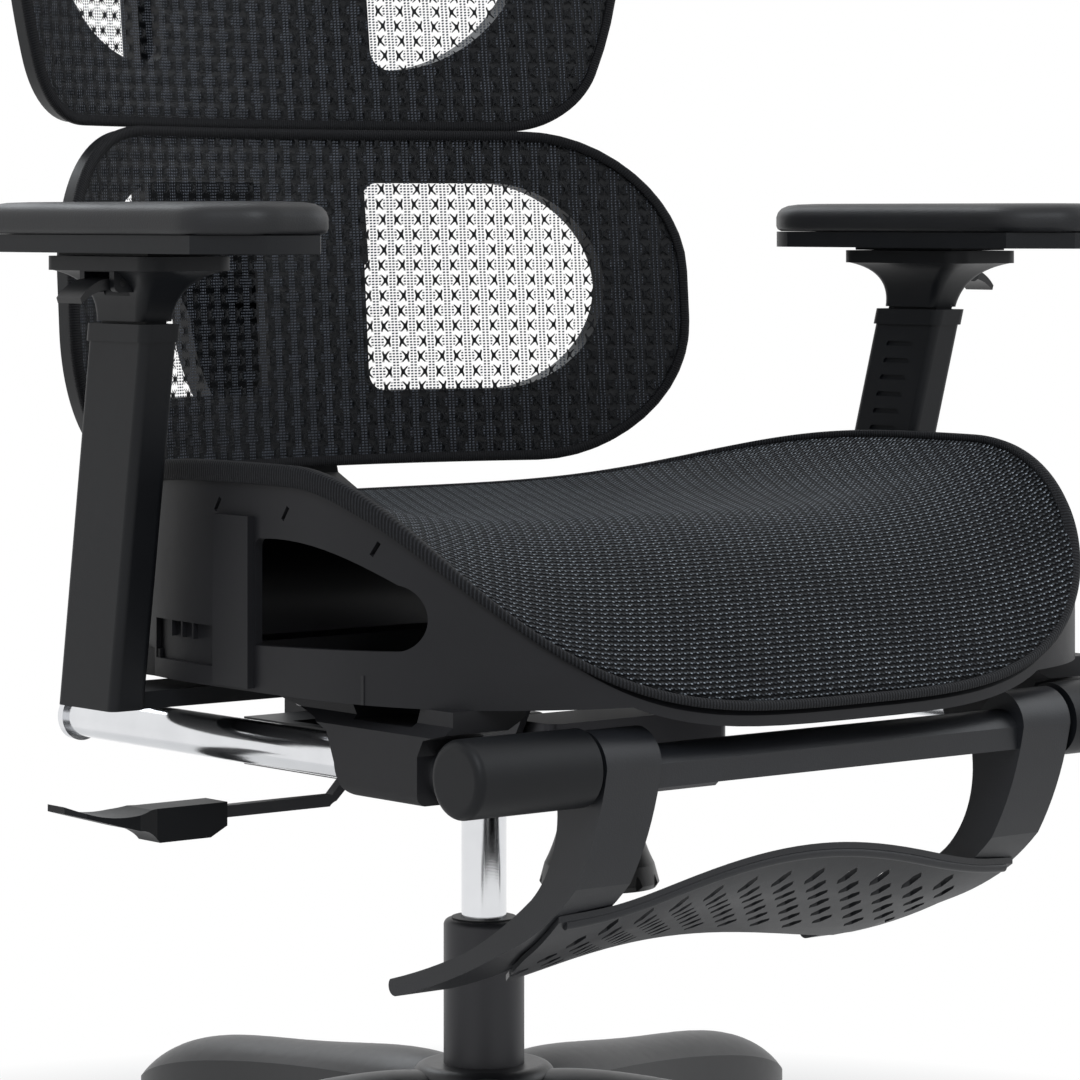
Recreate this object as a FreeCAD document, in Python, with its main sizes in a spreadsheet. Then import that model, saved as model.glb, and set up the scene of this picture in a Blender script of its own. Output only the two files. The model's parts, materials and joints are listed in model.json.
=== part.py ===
import FreeCAD, Part
import math
import os

import Sketcher

# Reclining office chair with a slide-out footrest.
# Millimetres. Z is up, the chair faces -Y, and the origin is on the floor under the gas column.

SIZES = {
    # Five-star base and gas column
    "base_arm_count": 5,
    "hub_radius": 44,
    "hub_bottom": 66,
    "hub_top": 139,
    "hub_edge": 8,
    "arm_reach": 350,
    "arm_root_half_width": 27,
    "arm_root_top": 136,
    "arm_tip_top": 101,
    "arm_bottom": 80,
    "arm_tip_rise": 8,
    "arm_channel_top": 97,
    "arm_channel_rib": 6,
    "caster_reach": 325,
    "column_radius": 25,
    "column_wall": 2,
    "column_top": 228,
    "column_edge": 4,
    "rod_radius": 14,
    "rod_bottom": 110,
    "rod_top": 338,
    "bushing_bottom": 160,
    "sliding_gap": 0.08,
    "valve_radius": 4,
    "valve_depth": 14,
    "valve_rise": 8,
    # Casters
    "wheel_radius": 30,
    "wheel_width": 18,
    "wheel_gap": 10,
    "wheel_edge": 3,
    "axle_radius": 4,
    "caster_trail": 20,
    "stem_radius": 5.5,
    "stem_top": 92,
    "fender_thickness": 3,
    "fender_gap": 1.5,
    "neck_radius": 10,
    "caster_toe_angle": 55,
    "web_thickness": 7,
    # Tilt mechanism
    "housing_half_width": 70,
    "housing_front": -150,
    "housing_rear": 95,
    "housing_bottom": 318,
    "housing_front_top": 366,
    "housing_rear_top": 330,
    "socket_rim_radius": 17,
    "socket_radius": 24,
    "socket_bottom": 297,
    "recline_axle_y": 45,
    "recline_axle_z": 331,
    "recline_axle_radius": 7,
    "seat_axle_y": -110,
    "seat_axle_z": 354,
    "seat_axle_radius": 6,
    "fork_thickness": 9,
    "side_gap": 2,
    "knob_y": -110,
    "knob_bottom": 261,
    "knob_height": 50,
    "knob_radius": 36,
    "knob_top_radius": 23,
    "knob_flutes": 12,
    "knob_stem_radius": 8,
    "lever_z": 326,
    "lever_drop": 15,
    "lever_rod_radius": 3.5,
    "lever_bend_x": 103,
    "lever_handle_x": 203,
    "lever_tip_x": 316,
    # Back bracket and spine
    "post_y": 150,
    "post_thickness": 26,
    "post_half_width": 33,
    "post_top": 455,
    "spine_thickness": 20,
    "spine_heel_y": 203,
    "spine_heel_z": 494,
    "spine_knee_y": 240,
    "spine_knee_z": 612,
    "spine_half_width": 88,
    "spine_top_y": 281,
    "spine_top": 1010,
    # Back panels
    "mesh_thickness": 3,
    "mesh_gap": 0.3,
    "panel_thickness": 12,
    "lumbar_half_width": 247,
    "lumbar_bottom": 501,
    "lumbar_height": 217,
    "lumbar_corner": 92,
    "lumbar_front_y": 170,
    "lumbar_wrap": 83,
    "lumbar_lean": 0.07,
    "lumbar_post_half": 40,
    "lumbar_window_reach": 202,
    "lumbar_window_bottom": 548,
    "lumbar_window_top": 684,
    "lumbar_pivot_z": 615,
    "lumbar_pivot_y": 212,
    "upper_half_width": 245,
    "upper_bottom": 720,
    "upper_height": 290,
    "upper_corner": 58,
    "upper_wrap": 84,
    "upper_post_half": 84,
    "upper_window_reach": 192,
    "upper_window_bottom": 760,
    "upper_window_top": 950,
    # Headrest
    "headrest_half_width": 150,
    "headrest_bottom": 1092,
    "headrest_height": 140,
    "headrest_corner": 46,
    "headrest_front_y": 246,
    "headrest_wrap": 46,
    "stem_half_width": 24,
    "stem_thickness": 10,
    "headrest_pivot_z": 1150,
    # Seat
    "seat_half_width": 271,
    "seat_middle_y": -126,
    "seat_front_depth": 209,
    "seat_rear_depth": 251,
    "seat_level": 487,
    "seat_front_drop": 93,
    "seat_front_start": -160,
    "seat_drop_power": 2,
    "seat_side_lift": 37,
    "seat_lift_power": 4.3,
    "seat_front_power": 3.2,
    "seat_rear_power": 3,
    "seat_mesh_thickness": 4,
    "seat_frame_bottom": 397,
    "seat_wall": 5,
    "seat_lip_depth": 6,
    "seat_lip_width": 32,
    "seat_rear_rail": 36,
    "seat_floor_width": 46,
    "seat_window_rear": -130,
    "seat_window_front": -258,
    "seat_window_bottom": 423,
    "seat_window_top": 483,
    "pillar_rise": 3,
    "flap_front": -89,
    "flap_rear": -25,
    "flap_bottom": 431,
    "flap_recess": 3,
    "clip_length": 9,
    "clip_width": 2.6,
    "plate_thickness": 6,
    "plate_half_width": 122,
    # Footrest
    "tube_radius": 12.5,
    "tube_x": 235,
    "tube_rear": 98,
    "tube_z": 362,
    "guide_rear": -118,
    "guide_front": -280,
    "notch_depth": 10.5,
    "guide_width": 42,
    "guide_bottom": 345,
    "foot_axis_y": -306,
    "foot_axis_z": 365,
    "elbow_radius": 21.5,
    "elbow_inner_x": 183,
    "elbow_outer_x": 268,
    "foot_pin_radius": 7,
    "foot_arm_inner_x": 140,
    "foot_arm_outer_x": 179,
    "foot_bar_half_depth": 15,
    "foot_bar_drop": 13,
    "pad_thickness": 3.6,
    "pad_front_y": -290,
    "pad_rear_y": -172,
    "pad_half_width": 176,
    "pad_arch": 15,
    "pad_gap": 0.8,
    "pad_rim_radius": 3,
    "slot_column": 13,
    "slot_bridge": 7,
    "slot_length": 18,
    "slot_width": 6,
    # Armrests
    "arm_foot_x": 297,
    "arm_foot_y": -18,
    "arm_foot_bottom": 381,
    "arm_splay": 0.056,
    "arm_lean": 0.231,
    "ladder_pitch": 11,
    "ladder_steps": 12,
    "ladder_depth": 1.6,
    "sleeve_length": 57,
    "sleeve_width": 24,
    "sleeve_top": 592,
    "collar_height": 10,
    "collar_lip": 1.5,
    "post_length": 44,
    "post_width": 14,
    "post_bottom": 470,
    "post_gap": 0.4,
    "head_top": 640,
    "head_plate": 8,
    "head_length": 108,
    "head_width": 60,
    "swivel_plate_height": 5,
    "swivel_pin_radius": 8,
    "armpad_bottom": 642,
    "armpad_base_height": 10,
    "armpad_top_height": 18,
    "armpad_length": 270,
    "armpad_width": 94,
    "armpad_middle_y": -90,
    "armpad_slide": 25,
}

doc = FreeCAD.newDocument("RecliningChair")
sheet = doc.addObject("Spreadsheet::Sheet", "Sizes")
for row, (alias, number) in enumerate(SIZES.items(), start=1):
    sheet.set(f"A{row}", alias)
    sheet.set(f"B{row}", str(number))
    sheet.setAlias(f"B{row}", alias)
doc.recompute()

RIGHT, LEFT = -1, 1
SIDES = {"r": RIGHT, "l": LEFT}
pieces = []


class Term:
    """A length or ratio that carries its number and the sheet formula behind it."""

    def __init__(self, value, text):
        self.value = float(value)
        self.text = text

    def __float__(self):
        return self.value

    def __add__(self, other):
        other = term(other)
        return Term(self.value + other.value, f"({self.text} + {other.text})")

    def __sub__(self, other):
        other = term(other)
        return Term(self.value - other.value, f"({self.text} - {other.text})")

    def __mul__(self, other):
        other = term(other)
        return Term(self.value * other.value, f"({self.text} * {other.text})")

    def __truediv__(self, other):
        other = term(other)
        return Term(self.value / other.value, f"({self.text} / {other.text})")

    def __radd__(self, other):
        return term(other) + self

    def __rsub__(self, other):
        return term(other) - self

    def __rmul__(self, other):
        return term(other) * self

    def __neg__(self):
        return Term(-self.value, f"(0 - {self.text})")


def term(value):
    """Wrap a plain number as a Term."""
    if isinstance(value, Term):
        return value
    return Term(value, f"({value:g})")


class Sheet:
    """Reads a driving size from the spreadsheet by its alias."""

    def __getattr__(self, alias):
        return Term(sheet.get(alias), f"Sizes.{alias}")


S = Sheet()


def vec(x, y, z):
    """A vector from Terms or numbers."""
    return FreeCAD.Vector(float(x), float(y), float(z))


# Document helpers

def new_body(label):
    """An empty body whose label names its file."""
    made = doc.addObject("PartDesign::Body", label)
    made.Label = label
    pieces.append(made)
    return made


def new_feature(label, shape):
    """A sub-part whose shape is worked out in code."""
    made = doc.addObject("Part::Feature", label)
    made.Label = label
    made.Shape = shape
    pieces.append(made)
    return made


def bind(target, path, value):
    """Tie one property of an object to its sheet formula."""
    target.setExpression(path, term(value).text)


def place(target, x=0, y=0, z=0, turn=None):
    """Put a finished body at its place, with an optional rotation."""
    target.Placement = FreeCAD.Placement(vec(x, y, z), turn or FreeCAD.Rotation())
    for axis, value in (("x", x), ("y", y), ("z", z)):
        bind(target, f"Placement.Base.{axis}", value)


def origin_feature(owner, role):
    """The origin plane or axis of a body that has this role."""
    return next(item for item in owner.Origin.OriginFeatures if item.Role == role)


def new_sketch(owner, name, plane="XY_Plane", offset=0):
    """A sketch on an origin plane of its own body, moved along the plane's normal."""
    made = owner.newObject("Sketcher::SketchObject", f"{owner.Label}_{name}")
    made.AttachmentSupport = [(origin_feature(owner, plane), "")]
    made.MapMode = "FlatFace"
    made.AttachmentOffset = FreeCAD.Placement(vec(0, 0, offset), FreeCAD.Rotation())
    bind(made, "AttachmentOffset.Base.z", offset)
    return made


def fix_point(profile, index, position, x, y):
    """Hold one sketch point at bound coordinates."""
    for kind, value in (("DistanceX", x), ("DistanceY", y)):
        value = term(value)
        number = profile.addConstraint(Sketcher.Constraint(kind, -1, 1, index, position, value.value))
        profile.setExpression(f"Constraints[{number}]", value.text)


def arc_edge(start, end, radius, turn):
    """The smaller arc between two points; turn is 1 to the left and -1 to the right."""
    chord = end - start
    left = FreeCAD.Vector(-chord.y, chord.x, 0).normalize()
    rise = math.sqrt(max(radius ** 2 - (chord.Length / 2) ** 2, 0))
    centre = (start + end) * 0.5 + left * rise * turn
    first, last = (start, end) if turn > 0 else (end, start)
    angles = [math.atan2(point.y - centre.y, point.x - centre.x) for point in (first, last)]
    return Part.ArcOfCircle(Part.Circle(centre, FreeCAD.Vector(0, 0, 1), radius), *angles)


def draw_outline(profile, points):
    """Draw a closed outline. A point is (x, y), or (x, y, radius, turn) where an arc leaves it."""
    base = profile.GeometryCount
    count = len(points)
    ends = []
    for index, point in enumerate(points):
        following = points[(index + 1) % count]
        start = vec(point[0], point[1], 0)
        end = vec(following[0], following[1], 0)
        if len(point) == 2:
            profile.addGeometry(Part.LineSegment(start, end), False)
            ends.append((1, 2))
        else:
            profile.addGeometry(arc_edge(start, end, float(point[2]), point[3]), False)
            ends.append((1, 2) if point[3] > 0 else (2, 1))
    for index, point in enumerate(points):
        after = (index + 1) % count
        profile.addConstraint(Sketcher.Constraint(
            "Coincident", base + index, ends[index][1], base + after, ends[after][0]))
        fix_point(profile, base + index, ends[index][0], point[0], point[1])
        if len(point) > 2:
            radius = term(point[2])
            number = profile.addConstraint(Sketcher.Constraint("Radius", base + index, radius.value))
            profile.setExpression(f"Constraints[{number}]", radius.text)


def draw_circle(profile, x, y, radius):
    """Draw a circle with bound centre and radius."""
    radius = term(radius)
    index = profile.addGeometry(
        Part.Circle(vec(x, y, 0), FreeCAD.Vector(0, 0, 1), radius.value), False)
    fix_point(profile, index, 3, x, y)
    number = profile.addConstraint(Sketcher.Constraint("Radius", index, radius.value))
    profile.setExpression(f"Constraints[{number}]", radius.text)


def draw_rounded(profile, x0, y0, x1, y1, radius):
    """Draw a rectangle with rounded corners between two opposite corners."""
    draw_outline(profile, [
        (x0 + radius, y0), (x1 - radius, y0, radius, 1),
        (x1, y0 + radius), (x1, y1 - radius, radius, 1),
        (x1 - radius, y1), (x0 + radius, y1, radius, 1),
        (x0, y1 - radius), (x0, y0 + radius, radius, 1)])


def draw_box(profile, x0, y0, x1, y1):
    """Draw a plain rectangle between two opposite corners."""
    draw_outline(profile, [(x0, y0), (x1, y0), (x1, y1), (x0, y1)])


def solid_volume(owner):
    """Volume of the body as far as it is built."""
    doc.recompute()
    return owner.Tip.Shape.Volume


def pad(owner, name, profile, length, symmetric=False, reverse=False, direction=None):
    """Extrude a sketch as added material."""
    made = owner.newObject("PartDesign::Pad", f"{owner.Label}_{name}")
    made.Profile = profile
    made.SideType = "Symmetric" if symmetric else "One side"
    made.Reversed = reverse
    bind(made, "Length", length)
    if direction:
        aim_along(made, direction)
    profile.Visibility = False
    return made


def pocket(owner, name, profile, length=None, symmetric=False, reverse=False, direction=None):
    """Cut a sketch away, through everything where no length is given."""
    before = solid_volume(owner)
    made = owner.newObject("PartDesign::Pocket", f"{owner.Label}_{name}")
    made.Profile = profile
    made.SideType = "Symmetric" if symmetric else "One side"
    made.Reversed = reverse
    if length is None:
        made.Type = "ThroughAll"
    else:
        bind(made, "Length", length)
    if direction:
        aim_along(made, direction)
    if solid_volume(owner) > before - 1e-3:
        raise RuntimeError(f"{made.Name} cuts nothing")
    return made


def aim_along(extrusion, direction):
    """Extrude along a slanted direction, with the length measured square to the sketch."""
    extrusion.UseCustomVector = True
    extrusion.AlongSketchNormal = True
    extrusion.Direction = vec(*direction)
    for axis, value in zip("xyz", direction):
        bind(extrusion, f"Direction.{axis}", value)


def revolve(owner, name, profile):
    """Turn a sketch round its own vertical axis."""
    made = owner.newObject("PartDesign::Revolution", f"{owner.Label}_{name}")
    made.Profile = profile
    made.ReferenceAxis = (profile, ["V_Axis"])
    made.Angle = 360
    return made


def loft(owner, name, sections):
    """Blend a row of sketches into one solid."""
    made = owner.newObject("PartDesign::AdditiveLoft", f"{owner.Label}_{name}")
    made.Profile = sections[0]
    made.Sections = sections[1:]
    return made


def polar_pattern(owner, name, original, count):
    """Repeat one feature round the body's vertical axis."""
    made = owner.newObject("PartDesign::PolarPattern", f"{owner.Label}_{name}")
    made.Originals = [original]
    made.Axis = (origin_feature(owner, "Z_Axis"), [""])
    made.Angle = 360
    bind(made, "Occurrences", count)
    owner.Tip = made
    doc.recompute()
    return made


def round_edges(owner, name, radius, chosen):
    """Round the edges of the finished body for which chosen(edge) holds."""
    doc.recompute()
    tip = owner.Tip
    names = [f"Edge{number}" for number, edge in enumerate(tip.Shape.Edges, start=1) if chosen(edge)]
    if not names:
        raise RuntimeError(f"{owner.Label} {name}: no edge chosen")
    made = owner.newObject("PartDesign::Fillet", f"{owner.Label}_{name}")
    made.Base = (tip, names)
    bind(made, "Radius", radius)
    return made


def is_along(edge, axis):
    """Whether an edge is straight and parallel to an axis."""
    if edge.Curve.TypeId != "Part::GeomLine":
        return False
    return abs(edge.Curve.Direction.dot(axis)) > 0.999


X_AXIS = FreeCAD.Vector(1, 0, 0)
Y_AXIS = FreeCAD.Vector(0, 1, 0)
Z_AXIS = FreeCAD.Vector(0, 0, 1)


# Five-star base

def arm_section(owner, name, reach, half_width, bottom, top, crown):
    """One cross-section of a base arm: flat below, crowned above."""
    profile = new_sketch(owner, name, "YZ_Plane", reach)
    radius = (half_width * half_width + crown * crown) / (crown * 2)
    draw_outline(profile, [
        (-half_width, bottom), (half_width, bottom),
        (half_width, top - crown, radius, 1), (-half_width, top - crown)])
    return profile


def make_star_base():
    """Moulded base: a hub with five crowned arms, ribbed channels below and caster sockets."""
    base = new_body("star_base")
    hub = new_sketch(base, "hub", "XZ_Plane")
    draw_outline(hub, [
        (0, S.hub_bottom), (S.hub_radius, S.hub_bottom),
        (S.hub_radius, S.hub_top - S.hub_edge, S.hub_edge, 1),
        (S.hub_radius - S.hub_edge, S.hub_top), (0, S.hub_top)])
    revolve(base, "Hub", hub)
    fall = S.arm_root_top - S.arm_tip_top
    sections = [
        arm_section(base, "root", S.hub_radius - 6, S.arm_root_half_width,
                    S.arm_bottom, S.arm_root_top, 13),
        arm_section(base, "inner", S.arm_reach * 0.38, S.arm_root_half_width + 1,
                    S.arm_bottom + 4, S.arm_root_top - fall * 0.14, 13),
        arm_section(base, "outer", S.arm_reach * 0.69, S.arm_root_half_width,
                    S.arm_bottom, S.arm_root_top - fall * 0.46, 13),
        arm_section(base, "tip", S.caster_reach, S.arm_root_half_width - 3,
                    S.arm_bottom - S.arm_tip_rise, S.arm_tip_top, 12),
        arm_section(base, "nose", S.arm_reach, S.arm_root_half_width - 11,
                    S.arm_bottom - S.arm_tip_rise, S.arm_tip_top - 15, 7)]
    arm = loft(base, "Arm", sections)
    channels = new_sketch(base, "channels", "XY_Plane", S.hub_bottom)
    inner = S.hub_radius + 14
    cell = (S.caster_reach - 24 - inner) / 4
    for number in range(4):
        near = inner + cell * number
        far = near + cell - S.arm_channel_rib
        half = S.arm_root_half_width - 8 - term(number)
        draw_box(channels, near, -half, far, half)
    hollow = pocket(base, "Channels", channels, S.arm_channel_top - S.hub_bottom, reverse=True)
    socket = new_sketch(base, "socket", "XY_Plane", S.hub_bottom)
    draw_circle(socket, S.caster_reach, 0, S.stem_radius + S.sliding_gap)
    bore = pocket(base, "Socket", socket, S.stem_top + 2 - S.hub_bottom, reverse=True)
    for name, original in (("Arms", arm), ("Hollows", hollow), ("Sockets", bore)):
        polar_pattern(base, name, original, S.base_arm_count)
    column = new_sketch(base, "column", "XY_Plane", S.hub_bottom)
    draw_circle(column, 0, 0, S.column_radius)
    pocket(base, "Column", column, S.hub_top - S.hub_bottom + 1, reverse=True)
    place(base, turn=FreeCAD.Rotation(Z_AXIS, 90))


def make_column():
    """Outer tube of the gas lift and the guide bushing inside it."""
    tube = new_body("column_tube")
    profile = new_sketch(tube, "wall", "XZ_Plane")
    bore = S.column_radius - S.column_wall
    draw_outline(profile, [
        (0, S.hub_bottom), (S.column_radius, S.hub_bottom),
        (S.column_radius, S.column_top - S.column_edge, S.column_edge, 1),
        (S.column_radius - S.column_edge, S.column_top),
        (bore - 3, S.column_top), (bore - 3, S.column_top - 2), (bore, S.column_top - 2),
        (bore, S.hub_bottom + 4), (0, S.hub_bottom + 4)])
    revolve(tube, "Wall", profile)
    sleeve = new_body("column_bushing")
    profile = new_sketch(sleeve, "wall", "XZ_Plane")
    hole = S.rod_radius + S.sliding_gap
    draw_outline(profile, [
        (hole, S.bushing_bottom), (bore, S.bushing_bottom), (bore, S.column_top - 2),
        (bore - 3, S.column_top - 2), (bore - 3, S.column_top + 1), (hole, S.column_top + 1)])
    revolve(sleeve, "Wall", profile)


def make_gas_rod():
    """Chrome piston rod with its release pin."""
    rod = new_body("gas_rod")
    profile = new_sketch(rod, "rod", "XZ_Plane")
    pin_hole = S.valve_radius + S.sliding_gap
    draw_outline(profile, [
        (0, S.rod_bottom), (S.rod_radius - 1, S.rod_bottom), (S.rod_radius, S.rod_bottom + 1),
        (S.rod_radius, S.rod_top), (pin_hole, S.rod_top),
        (pin_hole, S.rod_top - S.valve_depth), (0, S.rod_top - S.valve_depth)])
    revolve(rod, "Rod", profile)
    valve = new_body("valve_pin")
    profile = new_sketch(valve, "pin", "XY_Plane")
    draw_circle(profile, 0, 0, S.valve_radius)
    pad(valve, "Pin", profile, S.valve_depth - 4 + S.valve_rise)
    place(valve, z=S.rod_top - S.valve_depth + 4)


# Casters

def make_caster(number):
    """One swivelling hood and its pair of wheels, at the end of one base arm."""
    angle = 90 + 360 / float(S.base_arm_count) * (number - 1)
    spot = (S.caster_reach * math.cos(math.radians(angle)),
            S.caster_reach * math.sin(math.radians(angle)))
    toe = angle + float(S.caster_toe_angle)
    heading = FreeCAD.Rotation(Z_AXIS, toe)
    hood = new_body(f"caster_hood_{number}")
    outside = S.wheel_radius + S.fender_gap + S.fender_thickness
    inside = S.wheel_radius + S.fender_gap
    fender = new_sketch(hood, "fender", "XZ_Plane")
    cosine, sine = math.cos(math.radians(20)), math.sin(math.radians(20))
    draw_outline(fender, [
        (S.caster_trail + outside * cosine, S.wheel_radius + outside * sine, outside, 1),
        (S.caster_trail, S.wheel_radius + outside, outside, 1),
        (S.caster_trail - outside, S.wheel_radius),
        (S.caster_trail - inside, S.wheel_radius, inside, -1),
        (S.caster_trail, S.wheel_radius + inside, inside, -1),
        (S.caster_trail + inside * cosine, S.wheel_radius + inside * sine)])
    pad(hood, "Fender", fender, S.wheel_width * 2 + S.wheel_gap, symmetric=True)
    web = new_sketch(hood, "web", "XZ_Plane")
    reach = S.wheel_radius + S.fender_gap + 1
    draw_outline(web, [
        (S.caster_trail + reach * cosine, S.wheel_radius + reach * sine, reach, 1),
        (S.caster_trail, S.wheel_radius + reach, reach, 1),
        (S.caster_trail - reach, S.wheel_radius),
        (S.caster_trail - 12, S.wheel_radius - 14), (S.caster_trail + 12, S.wheel_radius - 14)])
    pad(hood, "Web", web, S.web_thickness, symmetric=True)
    hole = new_sketch(hood, "axle", "XZ_Plane")
    draw_circle(hole, S.caster_trail, S.wheel_radius, S.axle_radius + S.sliding_gap)
    pocket(hood, "Axle", hole, S.web_thickness + 2, symmetric=True)
    neck_bottom = S.wheel_radius * 2 - 1
    neck = new_sketch(hood, "neck", "XY_Plane", neck_bottom)
    draw_circle(neck, 0, 0, S.neck_radius)
    pad(hood, "Neck", neck, S.arm_bottom - S.arm_tip_rise - 1 - neck_bottom)
    stem = new_sketch(hood, "stem", "XY_Plane", S.arm_bottom - 10)
    draw_circle(stem, 0, 0, S.stem_radius)
    pad(hood, "Stem", stem, S.stem_top - S.arm_bottom + 10)
    place(hood, spot[0], spot[1], 0, heading)
    wheels = new_body(f"caster_wheels_{number}")
    profile = new_sketch(wheels, "section", "XZ_Plane")
    near = S.wheel_gap / 2
    far = near + S.wheel_width
    edge = S.wheel_edge
    draw_outline(profile, [
        (0, -far + 3), (9, -far + 3), (11, -far), (S.wheel_radius - edge, -far, edge, 1),
        (S.wheel_radius, -far + edge), (S.wheel_radius, -near - edge, edge, 1),
        (S.wheel_radius - edge, -near), (S.axle_radius, -near), (S.axle_radius, near),
        (S.wheel_radius - edge, near, edge, 1), (S.wheel_radius, near + edge),
        (S.wheel_radius, far - edge, edge, 1), (S.wheel_radius - edge, far),
        (11, far), (9, far - 3), (0, far - 3)])
    revolve(wheels, "Wheels", profile)
    heading_x = math.cos(math.radians(toe))
    heading_y = math.sin(math.radians(toe))
    lay_down = heading.multiply(FreeCAD.Rotation(X_AXIS, 90))
    place(wheels, spot[0] + S.caster_trail * heading_x, spot[1] + S.caster_trail * heading_y,
          S.wheel_radius, lay_down)


# Tilt mechanism

def make_tilt_housing():
    """Cast mechanism box with the column socket, sloped so that the seat can tip over it."""
    housing = new_body("tilt_housing")
    side = new_sketch(housing, "side", "YZ_Plane")
    draw_outline(side, [
        (S.housing_front, S.housing_bottom + 12), (S.housing_front + 14, S.housing_bottom),
        (S.housing_rear, S.housing_bottom), (S.housing_rear, S.housing_rear_top),
        (S.housing_front + 50, S.housing_front_top), (S.housing_front, S.housing_front_top)])
    pad(housing, "Box", side, S.housing_half_width * 2, symmetric=True)
    round_edges(housing, "Corners", 8, lambda edge: is_along(edge, Z_AXIS))
    collar = new_sketch(housing, "collar", "XY_Plane", S.socket_bottom + 7)
    draw_circle(collar, 0, 0, S.socket_radius)
    pad(housing, "Collar", collar, S.housing_bottom - S.socket_bottom - 6)
    rim = new_sketch(housing, "rim", "XY_Plane", S.socket_bottom)
    draw_circle(rim, 0, 0, S.socket_rim_radius)
    pad(housing, "Rim", rim, 8)
    bore = new_sketch(housing, "bore", "XY_Plane", S.socket_bottom)
    draw_circle(bore, 0, 0, S.rod_radius + S.sliding_gap)
    pocket(housing, "Bore", bore, S.rod_top - S.socket_bottom + 0.3, reverse=True)
    chamber = new_sketch(housing, "chamber", "XY_Plane", S.socket_bottom)
    draw_circle(chamber, 0, 0, S.valve_radius + 3)
    pocket(housing, "Chamber", chamber, S.rod_top + S.valve_rise + 1 - S.socket_bottom, reverse=True)
    for name, y, z, radius in (
            ("recline", S.recline_axle_y, S.recline_axle_z, S.recline_axle_radius),
            ("seat", S.seat_axle_y, S.seat_axle_z, S.seat_axle_radius)):
        hole = new_sketch(housing, f"{name}_hole", "YZ_Plane")
        draw_circle(hole, y, z, radius)
        pocket(housing, f"{name}_Hole", hole, S.housing_half_width * 2 + 4, symmetric=True)
    knob_hole = new_sketch(housing, "knob_hole", "XY_Plane", S.housing_bottom - 1)
    draw_circle(knob_hole, 0, S.knob_y, S.knob_stem_radius + S.sliding_gap)
    pocket(housing, "Knob_Hole", knob_hole, 16, reverse=True)
    ears = new_sketch(housing, "ears", "XZ_Plane")
    draw_outline(ears, [
        (-S.housing_half_width + 1, S.lever_z - 8), (-S.housing_half_width - 9, S.lever_z - 8, 8, -1),
        (-S.housing_half_width - 17, S.lever_z, 8, -1),
        (-S.housing_half_width - 9, S.lever_z + 8), (-S.housing_half_width + 1, S.lever_z + 8)])
    pad(housing, "Ears", ears, 22, symmetric=True)
    slot = new_sketch(housing, "slot", "XZ_Plane")
    draw_box(slot, -S.housing_half_width - 18, S.lever_z - 9, -S.housing_half_width, S.lever_z + 9)
    pocket(housing, "Ear_Slot", slot, 12, symmetric=True)
    pin = new_sketch(housing, "lever_pin", "XZ_Plane")
    draw_circle(pin, -S.housing_half_width - 9, S.lever_z, 3 + S.sliding_gap)
    pocket(housing, "Lever_Pin", pin, 24, symmetric=True)


def make_axle(label, y, z, radius, length):
    """A plain pivot pin that runs from side to side."""
    axle = new_body(label)
    profile = new_sketch(axle, "pin", "YZ_Plane")
    draw_circle(profile, y, z, radius)
    pad(axle, "Pin", profile, length, symmetric=True)


def make_tension_knob():
    """Bell-shaped tension knob with finger flutes and a stem that turns in the housing."""
    knob = new_body("tension_knob")
    profile = new_sketch(knob, "bell", "XZ_Plane")
    height = S.knob_height
    draw_outline(profile, [
        (0, 0), (S.knob_radius - 2, 0), (S.knob_radius, 3), (S.knob_radius - 3, 14, 90, -1),
        (S.knob_top_radius, height - 3), (S.knob_top_radius - 3, height), (17, height),
        (17, S.housing_bottom - S.knob_bottom - 0.5),
        (S.knob_stem_radius, S.housing_bottom - S.knob_bottom - 0.5),
        (S.knob_stem_radius, S.housing_bottom - S.knob_bottom + 14),
        (0, S.housing_bottom - S.knob_bottom + 14)])
    revolve(knob, "Bell", profile)
    flute = new_sketch(knob, "flute", "XY_Plane")
    draw_circle(flute, S.knob_radius + 2.4, 0, 4)
    cut = pocket(knob, "Flute", flute, height - 22, reverse=True)
    polar_pattern(knob, "Flutes", cut, S.knob_flutes)
    place(knob, 0, S.knob_y, S.knob_bottom)


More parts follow.
